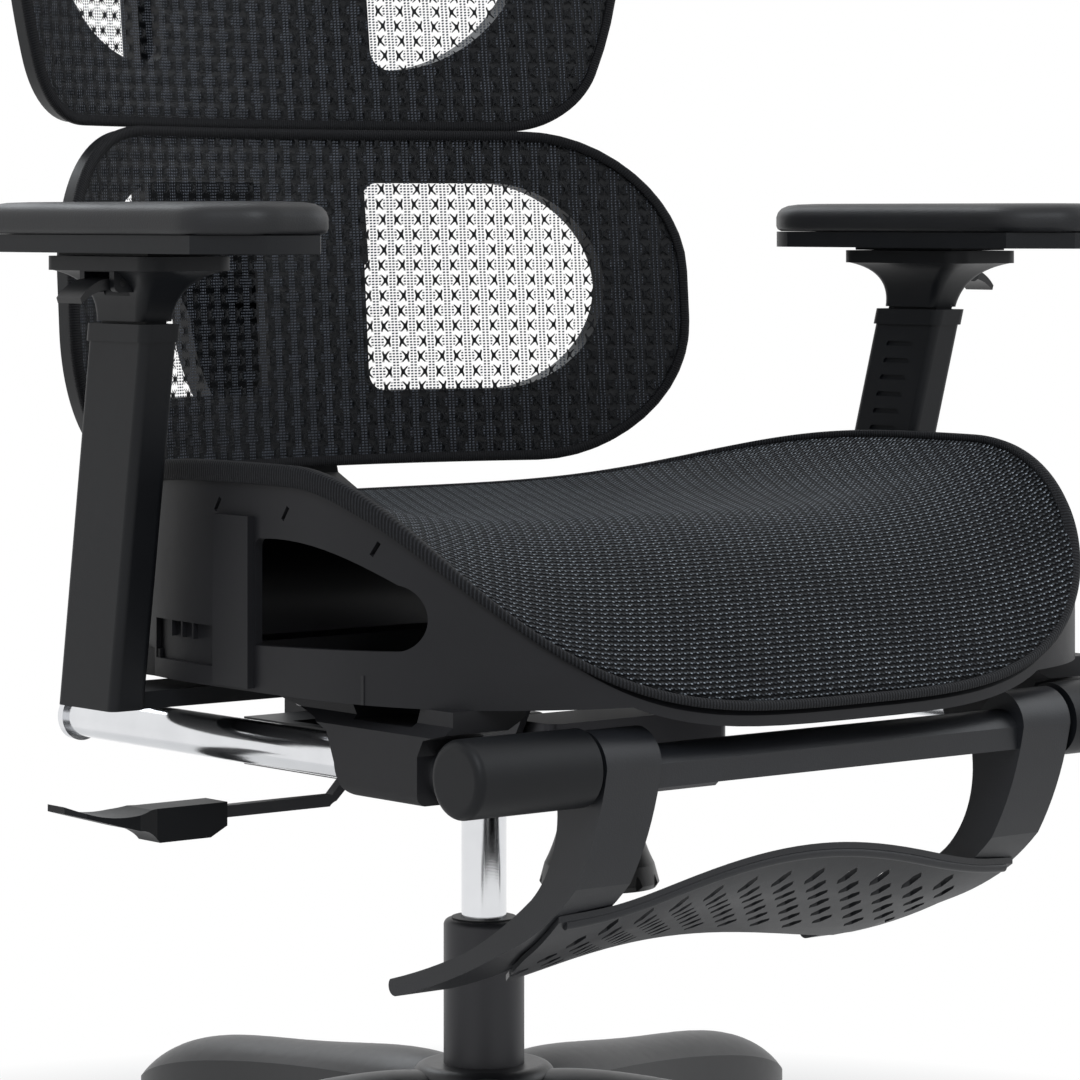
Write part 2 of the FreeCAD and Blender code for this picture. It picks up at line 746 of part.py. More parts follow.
def make_lever():
    """Bent height lever on a cross pin, with its moulded paddle."""
    rod = new_body("lever_rod")
    start = S.housing_half_width + 9
    eye = new_sketch(rod, "eye", "XZ_Plane")
    draw_circle(eye, -start, S.lever_z, 6.5)
    pad(rod, "Eye", eye, 11, symmetric=True)
    pin = new_sketch(rod, "pin", "XZ_Plane")
    draw_circle(pin, -start, S.lever_z, 3)
    pad(rod, "Pin", pin, 22, symmetric=True)
    low = S.lever_z - S.lever_drop
    radius = S.lever_rod_radius
    drop = S.lever_drop
    path = new_sketch(rod, "bend", "XZ_Plane")
    draw_outline(path, [
        (-start, S.lever_z + radius), (-S.lever_bend_x, S.lever_z + radius, 9, 1),
        (-S.lever_bend_x - 5, S.lever_z + radius - 3),
        (-S.lever_bend_x - drop - 2, low + radius), (-S.lever_handle_x - 20, low + radius),
        (-S.lever_handle_x - 20, low - radius), (-S.lever_bend_x - drop - 4, low - radius, 9, -1),
        (-S.lever_bend_x - drop + 1, low - radius + 3),
        (-S.lever_bend_x - 1, S.lever_z - radius), (-start, S.lever_z - radius)])
    pad(rod, "Bend", path, radius * 2, symmetric=True)
    paddle = new_body("lever_paddle")
    side = new_sketch(paddle, "side", "XZ_Plane")
    draw_outline(side, [
        (-S.lever_handle_x, low - 7), (-S.lever_handle_x, low + 7),
        (-S.lever_handle_x - 55, low + 7, 90, -1), (-S.lever_tip_x, low + 13),
        (-S.lever_tip_x, low + 9), (-S.lever_handle_x - 66, low - 4, 24, -1),
        (-S.lever_handle_x - 48, low - 13), (-S.lever_handle_x - 12, low - 13)])
    pad(paddle, "Grip", side, 34, symmetric=True)
    plan = new_sketch(paddle, "plan", "XY_Plane", low - 20)
    for sign in (1, -1):
        draw_outline(plan, [
            (-S.lever_tip_x - 2, sign * 18), (-S.lever_tip_x - 2, sign * 6, 34, -sign),
            (-S.lever_tip_x + 10, sign * 17), (-S.lever_handle_x - 66, sign * 17),
            (-S.lever_handle_x - 50, sign * 11), (-S.lever_handle_x + 2, sign * 11),
            (-S.lever_handle_x + 2, sign * 18)])
    pocket(paddle, "Plan", plan, 60, reverse=True)
    hole = new_sketch(paddle, "hole", "YZ_Plane", -S.lever_handle_x)
    draw_box(hole, -radius, low - radius, radius, low + radius)
    pocket(paddle, "Hole", hole, 20)


# Back bracket and spine

def make_back_bracket():
    """Fork on the recline axle that sweeps up behind the seat into a post."""
    bracket = new_body("back_bracket")
    inside = S.housing_half_width + S.side_gap
    outside = inside + S.fork_thickness
    eye = S.recline_axle_radius + 8
    y, z = S.recline_axle_y, S.recline_axle_z
    front = S.post_y - S.post_thickness / 2
    rear = S.post_y + S.post_thickness / 2
    fork = new_sketch(bracket, "fork", "YZ_Plane")
    draw_outline(fork, [
        (y, z - eye), (front + 4, z - eye), (front + 4, z + eye), (y, z + eye, eye, 1),
        (y - eye, z, eye, 1)])
    pad(bracket, "Fork", fork, outside * 2, symmetric=True)
    gap = new_sketch(bracket, "gap", "YZ_Plane")
    draw_box(gap, y - eye - 1, z - eye - 1, S.housing_rear + 7, z + eye + 1)
    pocket(bracket, "Gap", gap, inside * 2, symmetric=True)
    sweep = new_sketch(bracket, "sweep", "YZ_Plane")
    draw_outline(sweep, [
        (S.housing_rear + 12, z - eye), (rear - 24, z - eye, 24, 1), (rear, z - eye + 24),
        (rear, S.post_top), (front, S.post_top), (front, z + eye + 14, 14, -1),
        (front - 14, z + eye), (S.housing_rear + 12, z + eye)])
    pad(bracket, "Sweep", sweep, S.post_half_width * 2, symmetric=True)
    hole = new_sketch(bracket, "hole", "YZ_Plane")
    draw_circle(hole, y, z, S.recline_axle_radius + S.sliding_gap)
    pocket(bracket, "Hole", hole, outside * 2 + 2, symmetric=True)


SPINE_LEAN = (S.spine_top_y - S.spine_knee_y) / (S.spine_top - S.spine_knee_z)


def make_spine():
    """Leaning centre spine that widens behind the lumbar panel and carries the upper panel."""
    spine = new_body("spine")
    half = S.spine_thickness / 2
    side = new_sketch(spine, "side", "YZ_Plane")
    draw_outline(side, [
        (S.post_y - half, S.post_top), (S.post_y + half, S.post_top),
        (S.spine_heel_y + half, S.spine_heel_z - 16), (S.spine_knee_y + half, S.spine_knee_z),
        (S.spine_top_y + half, S.spine_top), (S.spine_top_y - half, S.spine_top),
        (S.spine_knee_y - half, S.spine_knee_z), (S.spine_heel_y - half, S.spine_heel_z),
        (S.post_y - half, S.post_top + 14)])
    pad(spine, "Blade", side, S.spine_half_width * 2, symmetric=True)
    front = new_sketch(spine, "front", "XZ_Plane", 0)
    edge = S.spine_half_width + 5
    for sign in (1, -1):
        draw_outline(front, [
            (sign * edge, S.post_top - 5), (sign * S.post_half_width, S.post_top - 5),
            (sign * S.post_half_width, S.spine_heel_z + 14, 110, sign),
            (sign * S.spine_half_width * 0.72, S.spine_knee_z - 16, 60, -sign),
            (sign * S.spine_half_width, S.spine_knee_z + 20),
            (sign * S.spine_half_width, S.spine_top - 190),
            (sign * S.spine_half_width * 0.6, S.spine_top + 5), (sign * edge, S.spine_top + 5)])
    pocket(spine, "Front", front, 800, symmetric=True)
    slot = new_sketch(spine, "stem_slot", "XY_Plane", S.spine_top)
    draw_box(slot, -S.stem_half_width - 0.1, S.spine_top_y - S.stem_thickness / 2 - 0.1,
             S.stem_half_width + 0.1, S.spine_top_y + S.stem_thickness / 2 + 0.1)
    pocket(spine, "Stem_Slot", slot, 130, direction=(0, -SPINE_LEAN, -1))
    ears = new_sketch(spine, "ears", "YZ_Plane")
    pivot_y, pivot_z = S.lumbar_pivot_y, S.lumbar_pivot_z
    draw_outline(ears, [
        (S.spine_knee_y, pivot_z - 9), (S.spine_knee_y, pivot_z + 9), (pivot_y, pivot_z + 9, 9, 1),
        (pivot_y - 9, pivot_z, 9, 1), (pivot_y, pivot_z - 9)])
    pad(spine, "Ears", ears, 60, symmetric=True)
    gap = new_sketch(spine, "ear_gap", "YZ_Plane")
    draw_box(gap, pivot_y - 10, pivot_z - 11, pivot_y + 11, pivot_z + 11)
    pocket(spine, "Ear_Gap", gap, 40, symmetric=True)
    pin = new_sketch(spine, "pin", "YZ_Plane")
    draw_circle(pin, pivot_y, pivot_z, 3.5 + S.sliding_gap)
    pocket(spine, "Pin", pin, 62, symmetric=True)


# Back panels

def panel_band(owner, name, half_width, front_y, wrap, lean, bottom, height, thickness, setback):
    """A leaning curved sheet: an arc seen from above, drawn out upwards."""
    radius = (half_width * half_width + wrap * wrap) / (wrap * 2)
    edge_y = front_y - wrap
    profile = new_sketch(owner, name, "XY_Plane", bottom)
    draw_outline(profile, [
        (-half_width, edge_y + setback), (-half_width, edge_y + setback + thickness, radius, -1),
        (half_width, edge_y + setback + thickness), (half_width, edge_y + setback, radius, 1)])
    return pad(owner, f"{name}_Band", profile, height, direction=(0, lean, 1))


def trim_outside(owner, name, outline, reach, bottom, top):
    """Cut away everything outside a front-view outline."""
    profile = new_sketch(owner, name, "XZ_Plane")
    draw_box(profile, -reach, bottom, reach, top)
    draw_outline(profile, outline)
    pocket(owner, f"{name}_Trim", profile, 900, symmetric=True)


def d_window(profile, inner, reach, bottom, top, corner, sign):
    """A window with a straight side by the centre post and a round outer end."""
    bow = (top - bottom) / 2 - 2
    outer = reach - bow
    middle = (top + bottom) / 2
    turn = sign
    draw_outline(profile, [
        (sign * (inner + corner), bottom), (sign * outer, bottom, bow + 4, turn),
        (sign * reach, middle, bow + 4, turn), (sign * outer, top),
        (sign * (inner + corner), top, corner, turn), (sign * inner, top - corner),
        (sign * inner, bottom + corner, corner, turn)])


def lumbar_outline(inset):
    """Lumbar panel seen from the front: nearly straight top, full round ends."""
    half = S.lumbar_half_width - inset
    bottom = S.lumbar_bottom + inset
    top = S.lumbar_bottom + S.lumbar_height - inset
    corner = S.lumbar_corner - inset
    return [
        (-half + corner, bottom), (half - corner, bottom, corner, 1), (half, bottom + corner),
        (half, top - corner, corner, 1), (half - corner, top),
        (-half + corner, top, corner, 1), (-half, top - corner), (-half, bottom + corner, corner, 1)]


def make_lumbar():
    """Lumbar frame with two see-through windows, its rocking lug, and the mesh over it."""
    reach = S.lumbar_half_width + 12
    low, high = S.lumbar_bottom - 12, S.lumbar_bottom + S.lumbar_height + 12
    for label, thickness, setback, inset in (
            ("lumbar_frame", S.panel_thickness, S.mesh_thickness + S.mesh_gap, term(1.5)),
            ("lumbar_mesh", S.mesh_thickness, term(0), term(0))):
        panel = new_body(label)
        panel_band(panel, "sheet", S.lumbar_half_width, S.lumbar_front_y - S.lumbar_lean * 100,
                   S.lumbar_wrap, S.lumbar_lean, S.lumbar_bottom - 6, S.lumbar_height + 12,
                   thickness, setback)
        trim_outside(panel, "outline", lumbar_outline(inset), reach, low, high)
        if label == "lumbar_mesh":
            continue
        windows = new_sketch(panel, "windows", "XZ_Plane")
        for sign in (1, -1):
            d_window(windows, S.lumbar_post_half, S.lumbar_window_reach, S.lumbar_window_bottom,
                     S.lumbar_window_top, 12, sign)
        pocket(panel, "Windows", windows, 900, symmetric=True)
        y, z = S.lumbar_pivot_y, S.lumbar_pivot_z
        lug = new_sketch(panel, "lug", "YZ_Plane")
        draw_outline(lug, [
            (S.lumbar_front_y + S.mesh_thickness + 6, z - 8), (y, z - 8, 8, 1),
            (y + 8, z, 8, 1), (y, z + 8), (S.lumbar_front_y + S.mesh_thickness + 6, z + 8)])
        pad(panel, "Lug", lug, 38, symmetric=True)
        pin = new_sketch(panel, "pin", "YZ_Plane")
        draw_circle(pin, y, z, 3.5)
        pad(panel, "Pin", pin, 60, symmetric=True)


def upper_outline(inset):
    """Upper panel seen from the front: bowed sides that run smoothly into the corners."""
    slope_cosine, slope_sine = math.cos(math.radians(20)), math.sin(math.radians(20))
    corner = S.upper_corner - inset
    bottom = S.upper_bottom + inset
    top = S.upper_bottom + S.upper_height - inset
    rise = top - bottom - corner * 2 * (1 - slope_sine)
    bow = rise / (2 * slope_sine)
    flat = S.upper_half_width - inset - corner * slope_cosine - bow * (1 - slope_cosine)
    side_x = flat + corner * slope_cosine
    low_z = bottom + corner * (1 - slope_sine)
    high_z = top - corner * (1 - slope_sine)
    return [
        (-flat, bottom), (flat, bottom, corner, 1), (side_x, low_z, bow, 1),
        (side_x, high_z, corner, 1), (flat, top), (-flat, top, corner, 1),
        (-side_x, high_z, bow, 1), (-side_x, low_z, corner, 1)]


def make_upper():
    """Upper back frame with two windows and the mesh over it."""
    reach = S.upper_half_width + 20
    low, high = S.upper_bottom - 12, S.upper_bottom + S.upper_height + 12
    start = S.upper_bottom - 6
    spine_front = S.spine_knee_y + SPINE_LEAN * (start - S.spine_knee_z) - S.spine_thickness / 2
    front_y = spine_front - S.panel_thickness - S.mesh_thickness - S.mesh_gap * 2
    for label, thickness, setback, inset in (
            ("upper_frame", S.panel_thickness, S.mesh_thickness + S.mesh_gap, term(1.5)),
            ("upper_mesh", S.mesh_thickness, term(0), term(0))):
        panel = new_body(label)
        panel_band(panel, "sheet", S.upper_half_width, front_y, S.upper_wrap, SPINE_LEAN,
                   start, S.upper_height + 12, thickness, setback)
        trim_outside(panel, "outline", upper_outline(inset), reach, low, high)
        if label == "upper_mesh":
            continue
        windows = new_sketch(panel, "windows", "XZ_Plane")
        for sign in (1, -1):
            d_window(windows, S.upper_post_half, S.upper_window_reach, S.upper_window_bottom,
                     S.upper_window_top, 14, sign)
        pocket(panel, "Windows", windows, 900, symmetric=True)


def make_headrest():
    """Headrest stem that slides in the spine, and the tilting headrest on it."""
    stem = new_body("headrest_stem")
    lean = SPINE_LEAN
    rise = S.headrest_pivot_z - S.spine_top
    bar = new_sketch(stem, "bar", "XY_Plane", S.spine_top - 120)
    low_y = S.spine_top_y - lean * 120
    draw_box(bar, -S.stem_half_width, low_y - S.stem_thickness / 2,
             S.stem_half_width, low_y + S.stem_thickness / 2)
    pad(stem, "Bar", bar, 120 + rise, direction=(0, lean, 1))
    pivot_y = S.spine_top_y + lean * rise
    knuckle = new_sketch(stem, "knuckle", "YZ_Plane")
    draw_circle(knuckle, pivot_y, S.headrest_pivot_z, 11)
    pad(stem, "Knuckle", knuckle, S.stem_half_width * 2, symmetric=True)
    hole = new_sketch(stem, "hole", "YZ_Plane")
    draw_circle(hole, pivot_y, S.headrest_pivot_z, 4 + S.sliding_gap)
    pocket(stem, "Hole", hole, S.stem_half_width * 2 + 2, symmetric=True)
    reach = S.headrest_half_width + 10
    low, high = S.headrest_bottom - 12, S.headrest_bottom + S.headrest_height + 12
    for label, thickness, setback, inset in (
            ("headrest_frame", S.panel_thickness, S.mesh_thickness + S.mesh_gap, term(1.5)),
            ("headrest_mesh", S.mesh_thickness, term(0), term(0))):
        panel = new_body(label)
        panel_band(panel, "sheet", S.headrest_half_width, S.headrest_front_y, S.headrest_wrap,
                   S.lumbar_lean, S.headrest_bottom - 6, S.headrest_height + 12, thickness, setback)
        half = S.headrest_half_width - inset
        outline = [
            (-half + S.headrest_corner, S.headrest_bottom + inset),
            (half - S.headrest_corner, S.headrest_bottom + inset, S.headrest_corner, 1),
            (half, S.headrest_bottom + inset + S.headrest_corner),
            (half, S.headrest_bottom + S.headrest_height - inset - S.headrest_corner,
             S.headrest_corner, 1),
            (half - S.headrest_corner, S.headrest_bottom + S.headrest_height - inset),
            (-half + S.headrest_corner, S.headrest_bottom + S.headrest_height - inset,
             S.headrest_corner, 1),
            (-half, S.headrest_bottom + S.headrest_height - inset - S.headrest_corner),
            (-half, S.headrest_bottom + inset + S.headrest_corner, S.headrest_corner, 1)]
        trim_outside(panel, "outline", outline, reach, low, high)
        if label == "headrest_mesh":
            continue
        window = new_sketch(panel, "window", "XZ_Plane")
        for sign in (1, -1):
            d_window(window, S.stem_half_width + 16, S.headrest_half_width - 20,
                     S.headrest_bottom + 24, S.headrest_bottom + S.headrest_height - 24, 8, sign)
        pocket(panel, "Windows", window, 900, symmetric=True)
        ears = new_sketch(panel, "ears", "YZ_Plane")
        draw_outline(ears, [
            (S.headrest_front_y + 10, S.headrest_pivot_z - 9), (pivot_y, S.headrest_pivot_z - 9, 9, 1),
            (pivot_y + 9, S.headrest_pivot_z, 9, 1), (pivot_y, S.headrest_pivot_z + 9),
            (S.headrest_front_y + 10, S.headrest_pivot_z + 9)])
        pad(panel, "Ears", ears, S.stem_half_width * 2 + 16, symmetric=True)
        gap = new_sketch(panel, "gap", "YZ_Plane")
        draw_box(gap, pivot_y - 13, S.headrest_pivot_z - 14, pivot_y + 12, S.headrest_pivot_z + 14)
        pocket(panel, "Gap", gap, S.stem_half_width * 2 + 2, symmetric=True)
        pin = new_sketch(panel, "pin", "YZ_Plane")
        draw_circle(pin, pivot_y, S.headrest_pivot_z, 4)
        pad(panel, "Pin", pin, S.stem_half_width * 2 + 16, symmetric=True)


# Seat

def seat_surface(x, y):
    """Height of the seat mesh: level, raised at both sides, and falling away in front."""
    front = max(0.0, float(S.seat_front_start) - y)
    run = float(S.seat_front_start - S.seat_middle_y + S.seat_front_depth)
    fall = float(S.seat_front_drop) * (front / run) ** float(S.seat_drop_power)
    lift = float(S.seat_side_lift) * (abs(x) / float(S.seat_half_width)) ** float(S.seat_lift_power)
    return float(S.seat_level) - fall + lift


def height_slab(height, x_limit, y_low, y_high, depth, steps=13):
    """A slab whose top follows height(x, y) and whose underside is the same form, lower down."""
    rows = []
    for i in range(steps):
        x = -x_limit + 2 * x_limit * i / (steps - 1)
        rows.append([vec(x, y_low + (y_high - y_low) * j / (steps - 1),
                         height(x, y_low + (y_high - y_low) * j / (steps - 1)))
                     for j in range(steps)])
    surface = Part.BSplineSurface()
    surface.interpolate(rows)
    return surface.toShape().extrude(vec(0, 0, -float(depth)))


SEAT_OUTLINE_POINTS = 56
CLIP_SPOTS = ((-94, 500), (-158, 498), (-228, 482))


def seat_prism(inset, bottom, top):
    """An upright block with the plan outline of the seat, drawn in by an inset."""
    points = []
    for step in range(SEAT_OUTLINE_POINTS):
        angle = 2 * math.pi * step / SEAT_OUTLINE_POINTS
        cosine, sine = math.cos(angle), math.sin(angle)
        power, depth = (S.seat_front_power, S.seat_front_depth) if sine < 0 else (
            S.seat_rear_power, S.seat_rear_depth)
        power = float(power)
        x = math.copysign(abs(cosine) ** (2 / power), cosine) * (float(S.seat_half_width) - inset)
        y = math.copysign(abs(sine) ** (2 / power), sine) * (float(depth) - inset)
        points.append(vec(x, S.seat_middle_y + y, bottom))
    curve = Part.BSplineCurve()
    curve.interpolate(points, PeriodicFlag=True)
    return Part.Face(Part.Wire(curve.toShape())).extrude(vec(0, 0, float(top) - float(bottom)))


def box(x0, x1, y0, y1, z0, z1):
    """A block between two corners."""
    corner = vec(x0, y0, z0)
    far = vec(x1, y1, z1)
    return Part.makeBox(far.x - corner.x, far.y - corner.y, far.z - corner.z, corner)


def seat_side_window():
    """The D-shaped opening through both side walls of the seat frame."""
    rear, front = float(S.seat_window_rear), float(S.seat_window_front)
    low, high = float(S.seat_window_bottom), float(S.seat_window_top)
    reach = float(S.seat_half_width) + 20

    def corner(y, z):
        return vec(-reach, y, z)

    shoulder = corner(front + 16, high - 20)
    chin = corner(front + 18, low + 4)
    edges = [
        Part.makeLine(corner(rear, low), corner(rear, high - 6)),
        Part.Arc(corner(rear, high - 6), corner(rear - 2, high - 1), corner(rear - 7, high)).toShape(),
        Part.Arc(corner(rear - 7, high), corner(rear - 60, high - 3), shoulder).toShape(),
        Part.Arc(shoulder, corner(front, low + 23), chin).toShape(),
        Part.makeLine(chin, corner(rear, low))]
    return Part.Face(Part.Wire(edges)).extrude(vec(2 * reach, 0, 0))


def clip_slot(y, z):
    """A slanted slot through both side walls, where the cover is hooked to the frame."""
    reach = float(S.seat_half_width) + 20
    length, width = float(S.clip_length), float(S.clip_width)
    slot = Part.makeBox(reach * 2, width, length, vec(-reach, -width / 2, -length / 2))
    slot.rotate(vec(0, 0, 0), X_AXIS, 35)
    slot.translate(vec(0, y, z))
    return slot


def seat_flap_recess(bottom):
    """The open pocket under the pull flap in both side walls, parted by three small ribs."""
    shell = seat_prism(-5, bottom, S.flap_bottom).cut(
        seat_prism(1.5 + float(S.flap_recess), bottom - 1, float(S.flap_bottom) + 1))
    zone = box(-300, 300, S.flap_front, S.flap_rear, bottom + 11, S.flap_bottom)
    for number in range(3):
        rib_y = float(S.flap_front) + 20 + number * 12
        zone = zone.cut(box(-300, 300, rib_y, rib_y + 1.6, float(S.flap_bottom) - 9, S.flap_bottom))
    return shell.common(zone)


def make_seat():
    """Seat mesh stretched over a moulded frame with open side wings."""
    width = float(S.seat_half_width) + 12
    y_low = float(S.seat_middle_y - S.seat_front_depth) - 8
    y_high = float(S.seat_middle_y + S.seat_rear_depth) + 12
    bottom, ceiling = float(S.seat_frame_bottom), float(S.seat_level) + 60
    thickness = float(S.seat_mesh_thickness)
    cloth = height_slab(seat_surface, width, y_low, y_high, thickness)
    floor_level = bottom - 60
    new_feature("seat_mesh", cloth.common(seat_prism(0, floor_level, ceiling)))

    def under_mesh(x, y):
        return seat_surface(x, y) - thickness - float(S.mesh_gap)

    outer = seat_prism(1.5, floor_level, ceiling)
    lip = height_slab(under_mesh, width, y_low, y_high, S.seat_lip_depth).common(outer)
    lip = lip.cut(seat_prism(float(S.seat_lip_width), floor_level, ceiling))
    wall = seat_prism(1.5, bottom, ceiling).cut(
        seat_prism(1.5 + float(S.seat_wall), bottom - 1, ceiling + 1))
    wall = wall.common(height_slab(under_mesh, width, y_low, y_high, 200))
    rear_cut = box(-width, width, 30, y_high, bottom - 1,
                   float(S.seat_level) - float(S.seat_rear_rail) + 18)
    wall = wall.cut(rear_cut).cut(seat_side_window()).cut(seat_flap_recess(bottom))
    flange = float(S.plate_thickness)
    tray = seat_prism(2.5, bottom, bottom + flange).cut(
        seat_prism(float(S.seat_floor_width), bottom - 1, bottom + flange + 1))
    tray = tray.common(box(-width, width, -284, 29, bottom, bottom + flange))
    frame = lip.fuse([wall, tray])
    inner_x = float(S.seat_half_width) - 8
    for y in (-205, -12):
        beam = box(-inner_x, inner_x, y - 16, y + 16, bottom, bottom + 16)
        frame = frame.fuse(beam)
    for side in SIDES.values():
        rib = seat_prism(-float(S.pillar_rise), bottom, ceiling).cut(
            seat_prism(2, bottom - 1, ceiling + 1))
        pillar_rear = float(S.seat_window_rear) + 35
        rib_zone = box(min(side * 200, side * 290), max(side * 200, side * 290),
                       float(S.seat_window_rear) + 1, pillar_rear,
                       bottom + 2, float(S.seat_window_top) + 12)
        frame = frame.fuse(rib.common(rib_zone))
    for y, z in CLIP_SPOTS:
        frame = frame.cut(clip_slot(y, z))
    new_feature("seat_frame", frame.removeSplitter())


def make_seat_plate():
    """Pressed steel plate under the seat, with ears on the front axle."""
    plate = new_body("seat_plate")
    top = S.seat_frame_bottom
    sheet_profile = new_sketch(plate, "sheet", "XY_Plane", top - S.plate_thickness)
    draw_rounded(sheet_profile, -S.plate_half_width, term(-220), S.plate_half_width, term(62), term(18))
    pad(plate, "Sheet", sheet_profile, S.plate_thickness)
    inside = S.housing_half_width + S.side_gap
    y, z = S.seat_axle_y, S.seat_axle_z
    ears = new_sketch(plate, "ears", "YZ_Plane")
    draw_outline(ears, [
        (y - 34, top - 3), (y - 12, z, 13, 1), (y, z - 12, 13, 1), (y + 12, z), (y + 34, top - 3)])
    pad(plate, "Ears", ears, (inside + 5) * 2, symmetric=True)
    gap = new_sketch(plate, "gap", "YZ_Plane")
    draw_box(gap, y - 40, z - 14, y + 40, top - S.plate_thickness)
    pocket(plate, "Gap", gap, inside * 2, symmetric=True)
    hole = new_sketch(plate, "hole", "YZ_Plane")
    draw_circle(hole, y, z, S.seat_axle_radius + S.sliding_gap)
    pocket(plate, "Hole", hole, (inside + 6) * 2, symmetric=True)


def make_guide(letter, side):
    """Guide bracket that holds one slide tube under the seat frame."""
    guide = new_body(f"guide_bracket_{letter}")
    z, gap = S.tube_z, S.tube_radius + S.sliding_gap
    inner = S.tube_x - S.guide_width / 2
    outer = S.tube_x + S.guide_width / 2
    profile = new_sketch(guide, "section", "XZ_Plane", -S.guide_rear)
    top = S.seat_frame_bottom
    turn = side
    draw_outline(profile, [
        (side * (inner + 6), S.guide_bottom), (side * (outer - 6), S.guide_bottom, 6, turn),
        (side * outer, S.guide_bottom + 6), (side * outer, top - 14),
        (side * (outer - 8), top - 8), (side * (outer - 8), top), (side * (inner - 16), top),
        (side * (inner - 16), top - 6), (side * inner, top - 14),
        (side * inner, S.guide_bottom + 6, 6, turn)])
    pad(guide, "Block", profile, S.guide_rear - S.guide_front)
    bore = new_sketch(guide, "bore", "XZ_Plane", -S.guide_rear)
    draw_circle(bore, side * S.tube_x, z, gap)
    pocket(guide, "Bore", bore, S.guide_rear - S.guide_front + 1, reverse=True)
    side_view = new_sketch(guide, "side_view", "YZ_Plane")
    low, front = S.guide_bottom, S.guide_front
    draw_box(side_view, front - 5, low - 5, S.guide_rear + 5, top + 5)
    draw_outline(side_view, [
        (S.guide_rear, top), (front + 90, top), (front + 83, top - S.notch_depth),
        (front + 32, top - S.notch_depth), (front + 28, top), (front, top), (front, top - 12),
        (front + 16, top - 16), (front + 21, top - 25), (front + 21, low),
        (front + 79, low, 19, 1), (front + 95, low + 17), (front + 102, top - 18),
        (S.guide_rear - 46, top - 12), (S.guide_rear, top - 3)])
    pocket(guide, "Side_Trim", side_view, 700, symmetric=True)


# Armrests

def make_arm_bracket(letter, side):
    """Fixed arm upright with its foot under the seat and the hollow that guides the post."""
    bracket = new_body(f"arm_bracket_{letter}")
    slope = (side * S.arm_splay, -S.arm_lean, 1)
    base = S.arm_foot_bottom
    half_x, half_y = S.sleeve_width / 2, S.sleeve_length / 2
    x, y = S.arm_foot_x, S.arm_foot_y
    sleeve = new_sketch(bracket, "sleeve", "XY_Plane", base)
    draw_rounded(sleeve, side * x - half_x, y - half_y, side * x + half_x, y + half_y, term(5))
    pad(bracket, "Sleeve", sleeve, S.sleeve_top - base, direction=slope)
    foot = new_sketch(bracket, "foot", "XY_Plane", base)
    inner = S.plate_half_width - 40
    ends = (side * inner, side * x)
    draw_box(foot, term(min(ends, key=float)), y - half_y + 3, term(max(ends, key=float)), y + half_y - 3)
    pad(bracket, "Foot", foot, S.seat_frame_bottom - S.plate_thickness - base)
    rise = S.sleeve_top - base
    collar = new_sketch(bracket, "collar", "XY_Plane", S.sleeve_top)
    top_x, top_y = side * x + side * S.arm_splay * rise, y - S.arm_lean * rise
    lip = S.collar_lip
    draw_rounded(collar, top_x - half_x - lip, top_y - half_y - lip,
                 top_x + half_x + lip, top_y + half_y + lip, term(6))
    pad(bracket, "Collar", collar, S.collar_height, direction=slope)
    rise = rise + S.collar_height
    mouth = new_sketch(bracket, "mouth", "XY_Plane", S.sleeve_top + S.collar_height)
    mouth_x, mouth_y = side * x + side * S.arm_splay * rise, y - S.arm_lean * rise
    bore_x, bore_y = S.post_width / 2 + S.post_gap, S.post_length / 2 + S.post_gap
    draw_box(mouth, mouth_x - bore_x, mouth_y - bore_y, mouth_x + bore_x, mouth_y + bore_y)
    depth = S.sleeve_top + S.collar_height - S.post_bottom + 2
    pocket(bracket, "Mouth", mouth, depth, direction=(-side * S.arm_splay, S.arm_lean, -1))
    for number in range(int(float(S.ladder_steps))):
        z = S.sleeve_top - 14 - S.ladder_pitch * number
        axis_x, axis_y = arm_point(side, z)
        step = new_sketch(bracket, f"step_{number}", "YZ_Plane", axis_x - side * half_x)
        draw_outline(step, [
            (axis_y - 10, z - 3), (axis_y + 10, z - 3, 3.3, 1), (axis_y + 10, z + 3),
            (axis_y - 10, z + 3, 3.3, 1)])
        pocket(bracket, f"Step_{number}", step, S.ladder_depth, reverse=side > 0)


def arm_point(side, z):
    """Where the arm's slanted axis passes a height."""
    rise = z - S.arm_foot_bottom
    return (side * S.arm_foot_x + side * S.arm_splay * rise, S.arm_foot_y - S.arm_lean * rise)


